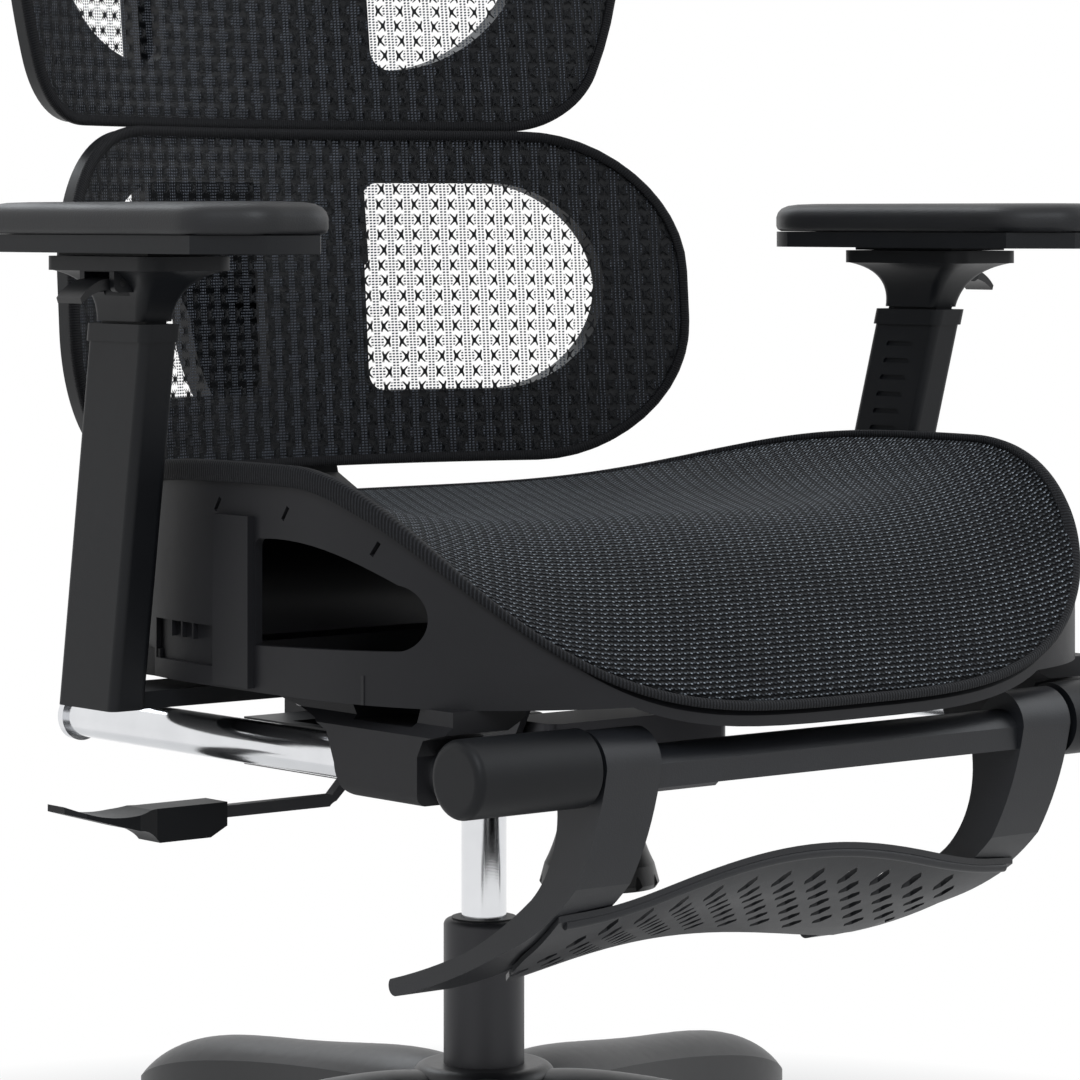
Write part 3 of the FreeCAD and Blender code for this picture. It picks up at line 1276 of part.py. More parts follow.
def make_arm_riser(letter, side):
    """Height post, the flared head on it and the head's release trigger."""
    slope = (side * S.arm_splay, -S.arm_lean, 1)
    post = new_body(f"arm_post_{letter}")
    x, y = arm_point(side, S.post_bottom)
    section = new_sketch(post, "section", "XY_Plane", S.post_bottom)
    half_x, half_y = S.post_width / 2, S.post_length / 2
    draw_box(section, x - half_x, y - half_y, x + half_x, y + half_y)
    neck_z = S.sleeve_top + S.collar_height + 1.5
    pad(post, "Post", section, neck_z - S.post_bottom, direction=slope)
    head = new_body(f"arm_head_{letter}")
    plate_z = S.head_top - S.head_plate
    neck_x, neck_y = arm_point(side, neck_z)
    top_x, top_y = arm_point(side, plate_z)
    neck = new_sketch(head, "neck", "XY_Plane", neck_z)
    draw_rounded(neck, neck_x - 12, neck_y - 23, neck_x + 12, neck_y + 23, term(5))
    waist_z = neck_z + 12
    waist_x, waist_y = arm_point(side, waist_z)
    waist = new_sketch(head, "waist", "XY_Plane", waist_z)
    draw_rounded(waist, waist_x - 14, waist_y - 26, waist_x + 14, waist_y + 26, term(6))
    flare = new_sketch(head, "flare", "XY_Plane", plate_z)
    half_w, half_l = S.head_width / 2, S.head_length / 2
    draw_rounded(flare, top_x - half_w + 2, top_y - half_l + 2,
                 top_x + half_w - 2, top_y + half_l - 2, term(10))
    loft(head, "Funnel", [neck, waist, flare])
    table = new_sketch(head, "plate", "XY_Plane", plate_z)
    draw_rounded(table, top_x - half_w, top_y - half_l, top_x + half_w, top_y + half_l, term(12))
    pad(head, "Plate", table, S.head_plate)
    socket = new_sketch(head, "socket", "XY_Plane", S.head_top)
    draw_circle(socket, top_x, top_y, S.swivel_pin_radius + S.sliding_gap)
    pocket(head, "Socket", socket, 6)
    seat_z = waist_z + 4
    bracket_x = top_x + side * (half_w - 6)
    ears = new_sketch(head, "ears", "XZ_Plane", -top_y)
    draw_outline(ears, [
        (bracket_x - side * 16, plate_z - 12), (bracket_x, plate_z - 12, 4, side),
        (bracket_x + side * 4, plate_z - 8), (bracket_x + side * 4, plate_z + 1),
        (bracket_x - side * 16, plate_z + 1)])
    pad(head, "Ears", ears, 34, symmetric=True)
    slot = new_sketch(head, "slot", "XZ_Plane", -top_y)
    draw_box(slot, term(min(float(bracket_x - side * 10), float(bracket_x + side * 6))), seat_z - 12,
             term(max(float(bracket_x - side * 10), float(bracket_x + side * 6))), plate_z - 0.5)
    pocket(head, "Slot", slot, 25, symmetric=True)
    pin = new_sketch(head, "pin", "XZ_Plane", -top_y)
    draw_circle(pin, bracket_x - side * 2, plate_z - 6.5, 2 + S.sliding_gap)
    pocket(head, "Pin", pin, 36, symmetric=True)
    trigger = new_body(f"arm_trigger_{letter}")
    hook = new_sketch(trigger, "hook", "XZ_Plane", -top_y)
    draw_outline(hook, [
        (bracket_x - side * 6, plate_z - 9.5), (bracket_x + side * 9, plate_z - 11, 30, -side),
        (bracket_x + side * 22, plate_z - 18), (bracket_x + side * 23, plate_z - 15, 30, side),
        (bracket_x + side * 9, plate_z - 5), (bracket_x - side * 6, plate_z - 3)])
    pad(trigger, "Hook", hook, 24, symmetric=True)
    pivot = new_sketch(trigger, "pivot", "XZ_Plane", -top_y)
    draw_circle(pivot, bracket_x - side * 2, plate_z - 6.5, 2)
    pad(trigger, "Pivot", pivot, 34, symmetric=True)


def make_arm_pad(letter, side):
    """Swivel plate, and the pad's hard base and soft top that slide on it."""
    x, y = arm_point(side, S.head_top - S.head_plate)
    plate_bottom = S.head_top + S.mesh_gap
    plate = new_body(f"swivel_plate_{letter}")
    half_x, half_y = term(24), term(44)
    table = new_sketch(plate, "plate", "XY_Plane", plate_bottom)
    draw_box(table, x - half_x, y - half_y, x + half_x, y + half_y)
    pad(plate, "Plate", table, S.swivel_plate_height)
    pin = new_sketch(plate, "pin", "XY_Plane", plate_bottom + 1)
    draw_circle(pin, x, y, S.swivel_pin_radius)
    pad(plate, "Pin", pin, 6, reverse=True)
    middle = S.armpad_middle_y
    half_w, half_l = S.armpad_width / 2, S.armpad_length / 2
    for label, bottom, height, shrink in (
            ("armpad_base", S.armpad_bottom, S.armpad_base_height, term(3)),
            ("armpad_top", S.armpad_bottom + S.armpad_base_height + S.mesh_gap,
             S.armpad_top_height, term(0))):
        piece = new_body(f"{label}_{letter}")
        outline = new_sketch(piece, "outline", "XY_Plane", bottom)
        w, l = half_w - shrink, half_l - shrink
        draw_outline(outline, [
            (x - w + 26, middle - l, 160, 1), (x + w - 26, middle - l), (x + w, middle - l + 34),
            (x + w, middle + l - 30, 40, 1), (x + w - 22, middle + l), (x - w + 22, middle + l, 40, 1),
            (x - w, middle + l - 30), (x - w, middle - l + 34)])
        pad(piece, "Block", outline, height)
        if label == "armpad_base":
            track = new_sketch(piece, "track", "XY_Plane", bottom)
            travel = S.armpad_slide + 0.3
            top = plate_bottom + S.swivel_plate_height + 0.3
            draw_box(track, x - half_x - 0.1, y - half_y - travel, x + half_x + 0.1, y + half_y + travel)
            pocket(piece, "Track", track, top - bottom, reverse=True)
        else:
            crown = float(bottom + height)
            round_edges(piece, "Crown", 6, lambda edge: (
                edge.BoundBox.ZMin > crown - 0.01 and edge.BoundBox.ZMax < crown + 0.01))


# Footrest

def make_slide_tube(letter, side):
    """Chrome slide tube with a stop ring at its rear end."""
    tube = new_body(f"slide_tube_{letter}")
    x, z = side * S.tube_x, S.tube_z
    profile = new_sketch(tube, "tube", "XZ_Plane", -S.tube_rear)
    draw_circle(profile, x, z, S.tube_radius)
    pad(tube, "Tube", profile, S.tube_rear - S.foot_axis_y - 12)
    stop = new_sketch(tube, "stop", "XZ_Plane", -S.tube_rear)
    draw_circle(stop, x, z, S.tube_radius + 2.5)
    pad(tube, "Stop", stop, 5)
    bore = new_sketch(tube, "bore", "XZ_Plane", -S.tube_rear)
    draw_circle(bore, x, z, S.tube_radius - 1.5)
    pocket(tube, "Bore", bore, S.tube_rear - S.foot_axis_y - 30, reverse=True)


def make_elbow(letter, side):
    """Elbow cap on the front end of a slide tube, with the pin that carries the footrest."""
    elbow = new_body(f"elbow_{letter}")
    y, z = S.foot_axis_y, S.foot_axis_z
    radius = S.elbow_radius
    drum = new_sketch(elbow, "drum", "YZ_Plane", side * S.elbow_inner_x)
    draw_circle(drum, y, z, radius)
    pad(elbow, "Drum", drum, S.elbow_outer_x - S.elbow_inner_x, reverse=side < 0)
    x = side * S.tube_x
    neck = new_sketch(elbow, "neck", "XZ_Plane", -y)
    draw_circle(neck, x, S.tube_z, S.tube_radius + 4)
    pad(elbow, "Neck", neck, 42, reverse=True)
    bore = new_sketch(elbow, "bore", "XZ_Plane", -y - 12)
    draw_circle(bore, x, S.tube_z, S.tube_radius)
    pocket(elbow, "Bore", bore, 40)
    ring = new_sketch(elbow, "ring", "YZ_Plane", side * S.elbow_inner_x)
    draw_circle(ring, y, z, radius - 5)
    pad(elbow, "Ring", ring, 2, reverse=side > 0)
    pin = new_sketch(elbow, "pin", "YZ_Plane", side * S.elbow_inner_x)
    draw_circle(pin, y, z, S.foot_pin_radius)
    pad(elbow, "Pin", pin, 34, reverse=side > 0)
    outer = float(side * S.elbow_outer_x)
    round_edges(elbow, "Cap_Edge", 5, lambda edge: abs(edge.BoundBox.XMin - outer) < 0.01
                and abs(edge.BoundBox.XMax - outer) < 0.01)


FOOT_ARM_UNDERSIDE = ((6, -67, 178), (70, -110, 500), (164, -146))


def make_footrest_frame():
    """Crossbar and the two curved arms that drop and sweep back under the seat."""
    frame = new_body("footrest_frame")
    y, z = S.foot_axis_y, S.foot_axis_z
    hub = term(20)
    arm = new_sketch(frame, "arm", "YZ_Plane")
    first, second, tip = FOOT_ARM_UNDERSIDE
    draw_outline(arm, [
        (y, z + hub, hub, 1), (y - hub, z, 190, 1), (y + first[0], z + first[1], first[2], 1),
        (y + second[0], z + second[1], second[2], 1), (y + tip[0], z + tip[1], 5.6, 1),
        (y + 170, z - 137, 545, -1),
        (y + 101, z - 113, 320, -1), (y + 44, z - 77, 66, -1), (y + 22, z - 20, 40, 1)])
    pad(frame, "Arms", arm, S.foot_arm_outer_x * 2, symmetric=True)
    gap = new_sketch(frame, "gap", "YZ_Plane")
    draw_box(gap, y - 60, z - 170, y + 200, z + 60)
    pocket(frame, "Arm_Gap", gap, S.foot_arm_inner_x * 2, symmetric=True)
    bar = new_sketch(frame, "bar", "YZ_Plane")
    half = S.foot_bar_half_depth
    draw_outline(bar, [
        (y - half, z - S.foot_bar_drop), (y + half, z - S.foot_bar_drop), (y + half, z, half + 2, 1),
        (y - half, z)])
    pad(frame, "Bar", bar, S.foot_arm_inner_x * 2 + 4, symmetric=True)
    hole = new_sketch(frame, "hole", "YZ_Plane")
    draw_circle(hole, y, z, S.foot_pin_radius + S.sliding_gap)
    pocket(frame, "Hole", hole, 400, symmetric=True)


def foot_arm_underside(y):
    """Height of the footrest arms' lower edge at a distance from the front."""
    start, middle, end = (vec(float(S.foot_axis_y) + point[0], float(S.foot_axis_z) + point[1], 0)
                          for point in FOOT_ARM_UNDERSIDE)
    if y < middle.x:
        circle = arc_edge(start, middle, FOOT_ARM_UNDERSIDE[0][2], 1)
    else:
        circle = arc_edge(middle, end, FOOT_ARM_UNDERSIDE[1][2], 1)
    return circle.Center.y - math.sqrt(circle.Radius ** 2 - (y - circle.Center.x) ** 2)


PAD_FLOOR, PAD_CUT_HEIGHT = 150, 250
PAD_FRONT_BOW = 8


def make_footpad():
    """Arched calf plate with staggered long slots and a rolled front edge."""
    inner = float(S.foot_arm_inner_x) - 2
    arch = float(S.pad_arch)

    def height(x, y):
        swell = max(0.0, 1 - (x / inner) ** 2)
        return foot_arm_underside(y) - float(S.pad_gap) + arch * swell ** 1.5

    half, front_y, rear_y = float(S.pad_half_width), float(S.pad_front_y), float(S.pad_rear_y)
    slab = height_slab(height, half + 10, front_y - 12, rear_y + 12, S.pad_thickness, steps=17)
    middle_y = (front_y + rear_y) / 2
    front_bow = PAD_FRONT_BOW
    corners = [
        vec(-half, front_y + front_bow, PAD_FLOOR), vec(0, front_y - 4, PAD_FLOOR),
        vec(half, front_y + front_bow, PAD_FLOOR), vec(half - 20, middle_y + 8, PAD_FLOOR),
        vec(half - 48, rear_y - 6, PAD_FLOOR), vec(0, rear_y + 2, PAD_FLOOR),
        vec(-half + 48, rear_y - 6, PAD_FLOOR), vec(-half + 20, middle_y + 8, PAD_FLOOR)]
    edges = [
        Part.Arc(corners[0], corners[1], corners[2]).toShape(),
        Part.Arc(corners[2], corners[3], corners[4]).toShape(),
        Part.Arc(corners[4], corners[5], corners[6]).toShape(),
        Part.Arc(corners[6], corners[7], corners[0]).toShape()]
    plate = slab.common(Part.Face(Part.Wire(edges)).extrude(vec(0, 0, PAD_CUT_HEIGHT)))
    length, width, bridge = float(S.slot_length), float(S.slot_width), float(S.slot_bridge)
    slots = []
    for number in range(-11, 12):
        x = number * float(S.slot_column)
        edge = front_y + 11 + (number % 2) * (length + bridge) / 2
        last = rear_y - 9 - 26 * (abs(x) / half) ** 3
        while edge + length < last:
            slots.append(hex_slot(x, edge + length / 2, width, length))
            edge += length + bridge
    new_feature("footrest_pad", plate.cut(slots).fuse(footpad_rim(height, half, front_y)))


def footpad_rim(height, half, front_y):
    """The rolled bead under the plate's front edge."""
    radius = float(S.pad_rim_radius)
    span = half - 6
    points = []
    for step in range(13):
        x = -span + span * step / 6
        y = front_y - 4 + (PAD_FRONT_BOW + 4) * (x / half) ** 2 + radius
        points.append(vec(x, y, height(x, y) - radius - 0.1))
    spine_curve = Part.BSplineCurve()
    spine_curve.interpolate(points)
    start = points[0]
    ring = Part.Wire(Part.makeCircle(radius, start, spine_curve.tangent(spine_curve.FirstParameter)[0]))
    return Part.Wire(spine_curve.toShape()).makePipeShell([ring], True, False)


def hex_slot(x, y, width, length):
    """An upright cutter for one long six-sided slot."""
    tip = width * 0.7
    outline = [
        (x, y - length / 2), (x + width / 2, y - length / 2 + tip), (x + width / 2, y + length / 2 - tip),
        (x, y + length / 2), (x - width / 2, y + length / 2 - tip), (x - width / 2, y - length / 2 + tip)]
    points = [vec(px, py, PAD_FLOOR) for px, py in outline]
    return Part.Face(Part.makePolygon(points + points[:1])).extrude(vec(0, 0, PAD_CUT_HEIGHT))


def build_chair():
    """Build every sub-part in the order in which the chair goes together."""
    make_star_base()
    make_column()
    make_gas_rod()
    for number in range(1, int(float(S.base_arm_count)) + 1):
        make_caster(number)
    make_tilt_housing()
    inside = S.housing_half_width + S.side_gap
    make_axle("recline_axle", S.recline_axle_y, S.recline_axle_z, S.recline_axle_radius,
              (inside + S.fork_thickness) * 2)
    make_axle("seat_axle", S.seat_axle_y, S.seat_axle_z, S.seat_axle_radius, (inside + 5) * 2)
    make_tension_knob()
    make_lever()
    make_back_bracket()
    make_spine()
    make_lumbar()
    make_upper()
    make_headrest()
    make_seat()
    make_seat_plate()
    for letter, side in SIDES.items():
        make_guide(letter, side)
        make_arm_bracket(letter, side)
        make_arm_riser(letter, side)
        make_arm_pad(letter, side)
        make_slide_tube(letter, side)
        make_elbow(letter, side)
    make_footrest_frame()
    make_footpad()


def check_and_export():
    """Refuse a failed feature or a bad solid, then write one file for each sub-part."""
    doc.recompute()
    for item in doc.Objects:
        if {"Invalid", "Error"} & set(item.State):
            raise RuntimeError(f"{item.Name} failed: {item.State}")
    for piece in pieces:
        if piece.Shape.isNull() or not piece.Shape.isValid() or not piece.Shape.Solids:
            raise RuntimeError(f"{piece.Label} has no valid solid")
    os.makedirs("parts", exist_ok=True)
    for piece in pieces:
        piece.Shape.exportStep(os.path.join("parts", f"{piece.Label}.step"))
        print(piece.Label, len(piece.Shape.Solids), round(piece.Shape.Volume / 1000, 1), "cm3")


build_chair()
check_and_export()
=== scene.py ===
"""Dresses the reclining office chair: woven mesh, moulded plastic, chrome, ribbed tape, small trim.

Metres. Z is up, the chair faces -Y, and the origin is on the floor under the gas column.
"""

import json
import logging
import math
from dataclasses import dataclass
from enum import Enum
from typing import Callable, Sequence

import bmesh
import bpy
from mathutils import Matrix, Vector

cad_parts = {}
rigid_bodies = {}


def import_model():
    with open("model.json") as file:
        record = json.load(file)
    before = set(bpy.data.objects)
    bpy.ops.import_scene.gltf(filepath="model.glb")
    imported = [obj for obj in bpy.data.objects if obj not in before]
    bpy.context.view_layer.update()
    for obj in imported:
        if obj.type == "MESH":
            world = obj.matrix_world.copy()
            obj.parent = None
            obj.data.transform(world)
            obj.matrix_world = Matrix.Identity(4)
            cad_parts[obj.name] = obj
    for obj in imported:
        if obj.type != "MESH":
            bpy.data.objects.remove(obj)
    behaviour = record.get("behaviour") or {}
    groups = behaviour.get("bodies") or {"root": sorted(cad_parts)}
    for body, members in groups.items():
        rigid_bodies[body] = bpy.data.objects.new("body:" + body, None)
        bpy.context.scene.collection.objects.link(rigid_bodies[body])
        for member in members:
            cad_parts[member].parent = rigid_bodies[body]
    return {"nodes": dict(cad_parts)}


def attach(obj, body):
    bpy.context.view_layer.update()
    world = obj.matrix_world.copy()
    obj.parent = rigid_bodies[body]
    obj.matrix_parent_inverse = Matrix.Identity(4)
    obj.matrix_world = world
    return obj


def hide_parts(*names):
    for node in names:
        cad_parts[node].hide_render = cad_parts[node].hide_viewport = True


for leftover in list(bpy.data.objects):
    bpy.data.objects.remove(leftover)
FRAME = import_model()
LOG = logging.getLogger("chair")
Colour = tuple[float, float, float]
Point = tuple[float, float]
WHITE: Colour = (1.0, 1.0, 1.0)

# Places of a colour Mix node's sockets, which share their names with its other kinds
MIX_AMOUNT, MIX_LOW, MIX_HIGH, MIX_RESULT = 0, 6, 7, 2


# Shader building


class Wire:
    """One shader output that takes part in Python sums."""

    def __init__(self, board: "Board", socket: bpy.types.NodeSocket) -> None:
        """Keep the node board and the socket that the value comes from."""
        self.board = board
        self.socket = socket

    def _sum(self, operation: str, *parts: "Wire | float") -> "Wire":
        """Add one Math node over the given values.

        Args:
            operation: the node's kind of sum.
            parts: its values in their order.

        Returns:
            The result.
        """
        made = self.board.node("ShaderNodeMath", {"operation": operation}, *parts)
        return Wire(self.board, made.outputs[0])

    def __add__(self, other: "Wire | float") -> "Wire":
        """Sum."""
        return self._sum("ADD", self, other)

    def __radd__(self, other: float) -> "Wire":
        """Sum with the number on the left."""
        return self._sum("ADD", other, self)

    def __sub__(self, other: "Wire | float") -> "Wire":
        """Difference."""
        return self._sum("SUBTRACT", self, other)

    def __rsub__(self, other: float) -> "Wire":
        """Difference with the number on the left."""
        return self._sum("SUBTRACT", other, self)

    def __mul__(self, other: "Wire | float") -> "Wire":
        """Product."""
        return self._sum("MULTIPLY", self, other)

    def __abs__(self) -> "Wire":
        """Size without its sign."""
        return self._sum("ABSOLUTE", self)

    def wave(self, pitch: float) -> "Wire":
        """A cosine of the value that repeats at every pitch.

        Args:
            pitch: length of one period.

        Returns:
            A value from -1 to 1.
        """
        return self._sum("COSINE", self * (2 * math.pi / pitch))

    def over(self, level: float, soft: float = 0.1) -> "Wire":
        """A mask that is 1 where the value passes a level.

        Args:
            level: value at which the mask is half.
            soft: width of the change.

        Returns:
            A mask from 0 to 1.
        """
        low, high = level - soft / 2, level + soft / 2
        made = self.board.node("ShaderNodeMapRange", {"clamp": True}, self, low, high, 0.0, 1.0)
        return Wire(self.board, made.outputs[0])

    def most(self, other: "Wire | float") -> "Wire":
        """The larger of two values.

        Args:
            other: what this value is compared with.

        Returns:
            The larger value at each point.
        """
        return self._sum("MAXIMUM", self, other)


class Board:
    """The nodes of one material or world."""

    def __init__(self, owner: bpy.types.Material | bpy.types.World) -> None:
        """Start with an empty node tree.

        Args:
            owner: the material or world that the nodes belong to.
        """
        self.owner = owner
        owner.use_nodes = True
        self.tree = owner.node_tree
        self.tree.nodes.clear()

    def node(self, kind: str, settings: dict[str, object] | None = None,
             *values: object, **named: object) -> bpy.types.Node:
        """Add any node, set it up, then feed its sockets.

        Args:
            kind: the node's type name.
            settings: properties that are set before the sockets are fed.
            values: numbers, colours or wires for the sockets in their order.
            named: the same for sockets by name, with _ for a space.

        Returns:
            The new node.
        """
        made = self.tree.nodes.new(kind)
        for key, value in (settings or {}).items():
            setattr(made, key, value)
        for index, value in enumerate(values):
            self.feed(made.inputs[index], value)
        for key, value in named.items():
            self.feed(made.inputs[key.replace("_", " ")], value)
        return made

    def feed(self, socket: bpy.types.NodeSocket, value: object) -> None:
        """Link a wire into a socket, or set its plain value.

        Args:
            socket: the input that is fed.
            value: a wire, a number, or a colour of three channels.
        """
        if isinstance(value, Wire):
            self.tree.links.new(value.socket, socket)
        elif isinstance(value, tuple) and len(value) == 3 and socket.type == "RGBA":
            socket.default_value = (*value, 1)
        else:
            socket.default_value = value

    def wire(self, made: bpy.types.Node, output: int | str = 0) -> Wire:
        """One output of a node as a wire.

        Args:
            made: the node.
            output: place or name of the output.

        Returns:
            The wire.
        """
        return Wire(self, made.outputs[output])

    def place(self, uv: bool = False) -> Wire:
        """The surface position in metres.

        Args:
            uv: whether it comes from the piece's own UV map instead of the object.

        Returns:
            The position.
        """
        return self.wire(self.node("ShaderNodeTexCoord"), "UV" if uv else "Object")

    def along(self, position: Wire, axis: str) -> Wire:
        """One part of a position.

        Args:
            position: the position.
            axis: X, Y or Z.

        Returns:
            The part along that axis.
        """
        return self.wire(self.node("ShaderNodeSeparateXYZ", None, position), axis)

    def noise(self, position: Wire, size: float, detail: float = 2.0) -> Wire:
        """Soft noise from 0 to 1.

        Args:
            position: where the noise is read.
            size: width of one blot in metres.
            detail: octaves of finer noise.

        Returns:
            The noise value.
        """
        made = self.node("ShaderNodeTexNoise", None, Vector=position, Scale=1 / size, Detail=detail)
        return self.wire(made)

    def blend(self, low: object, high: object, amount: Wire | float) -> Wire:
        """Mix two colours by a mask.

        Args:
            low: colour or wire where the mask is 0.
            high: colour or wire where the mask is 1.
            amount: the mask.

        Returns:
            The mixed colour.
        """
        made = self.node("ShaderNodeMix", {"data_type": "RGBA"})
        for index, value in ((MIX_AMOUNT, amount), (MIX_LOW, low), (MIX_HIGH, high)):
            self.feed(made.inputs[index], value)
        return self.wire(made, MIX_RESULT)

    def bump(self, height: Wire, depth: float) -> Wire:
        """Raise the surface by a height map.

        Args:
            height: the map, from 0 to 1.
            depth: rise in metres where the map is 1.

        Returns:
            The surface direction.
        """
        return self.wire(
            self.node("ShaderNodeBump", None, Strength=1.0, Distance=depth, Height=height))

    def surface(self, **sockets: object) -> bpy.types.Material:
        """Close the board with a Principled surface.

        Args:
            sockets: values for the shader's sockets, with _ for a space.

        Returns:
            The finished material.
        """
        shader = self.node("ShaderNodeBsdfPrincipled", None, **sockets)
        self.node("ShaderNodeOutputMaterial", None, self.wire(shader))
        return self.owner


# Finishes


@dataclass(frozen=True)
class MouldedPlastic:
    """Injection-moulded plastic with a fine spark-eroded grain and a faint flow mottle."""

    name: str
    dark: Colour = (0.0038, 0.0044, 0.0056)
    pale: Colour = (0.0072, 0.0080, 0.0098)
    roughness: float = 0.46
    grain: float = 0.0007
    depth: float = 0.00005
    gloss: float = 0.22
    mottle_size: float = 0.05
    mottle_share: float = 0.07
    scuff_size: float = 0.006
    scuff_share: float = 0.06

    def build(self) -> bpy.types.Material:
        """Make the material."""
        board = Board(bpy.data.materials.new(self.name))
        spot = board.place()
        mottle = board.noise(spot, self.mottle_size, 3.0)
        scuff = board.noise(spot, self.scuff_size, 4.0)
        grain = board.noise(spot, self.grain, 1.0)
        colour = board.blend(self.dark, self.pale, mottle.over(0.5, 0.7))
        even = self.roughness - self.scuff_share
        rough = even + mottle * self.mottle_share + scuff * self.scuff_share
        return board.surface(
            Base_Color=colour, Roughness=rough, Specular_IOR_Level=self.gloss,
            Normal=board.bump(grain, self.depth))


@dataclass(frozen=True)
class Chrome:
    """Polished chrome with a trace of grinding rings along one axis."""

    name: str
    axis: str
    dull: Colour = (0.66, 0.67, 0.69)
    bright: Colour = (0.80, 0.81, 0.83)
    haze_size: float = 0.03
    haze_share: float = 0.10
    roughness: float = 0.09
    ring_pitch: float = 0.0009
    ring_depth: float = 0.0000025

    def build(self) -> bpy.types.Material:
        """Make the material."""
        board = Board(bpy.data.materials.new(self.name))
        spot = board.place()
        haze = board.noise(spot, self.haze_size, 3.0)
        rings = board.along(spot, self.axis).wave(self.ring_pitch)
        return board.surface(
            Base_Color=board.blend(self.dull, self.bright, haze), Metallic=1.0,
            Roughness=self.roughness + haze * self.haze_share,
            Normal=board.bump(rings, self.ring_depth))


@dataclass(frozen=True)
class PowderCoat:
    """Black powder coat on steel or cast alloy, with the dimples of baked powder."""

    name: str
    colour: Colour
    dimple: float = 0.0016
    roughness: float = 0.42
    dimple_depth: float = 0.00012
    drift_size: float = 0.04
    drift_share: float = 0.12
    brighten: float = 1.7

    def build(self) -> bpy.types.Material:
        """Make the material."""
        board = Board(bpy.data.materials.new(self.name))
        spot = board.place()
        dimples = board.noise(spot, self.dimple, 2.0)
        drift = board.noise(spot, self.drift_size, 2.0)
        bright = tuple(channel * self.brighten for channel in self.colour)
        return board.surface(
            Base_Color=board.blend(self.colour, bright, drift.over(0.55, 0.5)),
            Roughness=self.roughness + drift * self.drift_share - self.drift_share / 2,
            Specular_IOR_Level=0.32, Normal=board.bump(dimples, self.dimple_depth))


@dataclass(frozen=True)
class SoftSkin:
    """Skinned foam with a leather-like pebble on the arm pads."""

    name: str
    dark: Colour = (0.0070, 0.0074, 0.0085)
    pale: Colour = (0.0125, 0.0130, 0.0150)
    cells_per_metre: float = 900.0
    pebble_depth: float = 0.00006
    wear_size: float = 0.03
    wear_share: float = 0.12

    def build(self) -> bpy.types.Material:
        """Make the material."""
        board = Board(bpy.data.materials.new(self.name))
        spot = board.place()
        cells = board.node(
            "ShaderNodeTexVoronoi", {"feature": "F1"}, Vector=spot, Scale=self.cells_per_metre)
        pebble = board.wire(cells, "Distance")
        wear = board.noise(spot, self.wear_size, 3.0)
        return board.surface(
            Base_Color=board.blend(self.dark, self.pale, wear),
            Roughness=0.42 + wear * self.wear_share, Specular_IOR_Level=0.34,
            Normal=board.bump(pebble, self.pebble_depth))


@dataclass(frozen=True)
class OpenWeave:
    """Elastic back mesh: swaying pairs of threads round lens-shaped holes, dotted threads between.

    Pitches and depths are in metres, the sway in widths of a pair. The other shares shape the legs
    that part and meet twice in each rise.
    """

    name: str
    pair: float = 0.0133
    rise: float = 0.0200
    sway: float = 0.125
    leg_spread: float = 0.38
    leg_width: float = 0.16
    thread_pitch: float = 0.00266
    stitch: float = 0.0019
    wobble: float = 0.0012
    wobble_size: float = 0.02
    patch_size: float = 0.012
    relief: float = 0.00025
    dark: Colour = (0.006, 0.0068, 0.0085)
    lit: Colour = (0.160, 0.175, 0.210)

    def build(self) -> bpy.types.Material:
        """Make the material."""
        board = Board(bpy.data.materials.new(self.name))
        spot = board.place(uv=True)
        wobble = board.noise(spot, self.wobble_size, 2.0) * self.wobble
        across = board.along(spot, "X") + wobble
        up = board.along(spot, "Y")
        bend = across.wave(self.pair * 2) * up.wave(self.rise) * self.sway
        column = (across * (1 / self.pair) - bend).wave(1.0)
        level = up.wave(self.rise / 2)
        # Threads that hold: knotted legs round each hole, and dotted threads between the pairs
        apart = abs((1.0 - column) - (1.0 - level) * self.leg_spread)
        legs = 1.0 - apart.over(self.leg_width, 0.10)
        knots = legs * column.over(0.30, 0.2) * level.over(-0.70, 0.6)
        dots = up.wave(self.stitch).over(-0.15, 0.5)
        dotted = across.wave(self.thread_pitch).over(0.35, 0.5) * dots
        between = 1.0 - column.over(-0.10, 0.3)
        threads = knots.most(dotted * between)
        # Light on them: fine ribs and rungs, stronger in some patches than in others
        ribs = across.wave(self.thread_pitch / 2).over(0.1, 1.0)
        rungs = up.wave(self.stitch).over(0.0, 0.9)
        patch = board.noise(spot, self.patch_size, 3.0).over(0.48, 0.5)
        light = between * (0.25 + ribs * rungs * 0.75) * (0.40 + patch * 0.60)
        return board.surface(
            Base_Color=board.blend(self.dark, self.lit, light), Roughness=0.66 - light * 0.12,
            Specular_IOR_Level=0.22, Alpha=threads.over(0.5, 0.6),
            Normal=board.bump(ribs + threads, self.relief))


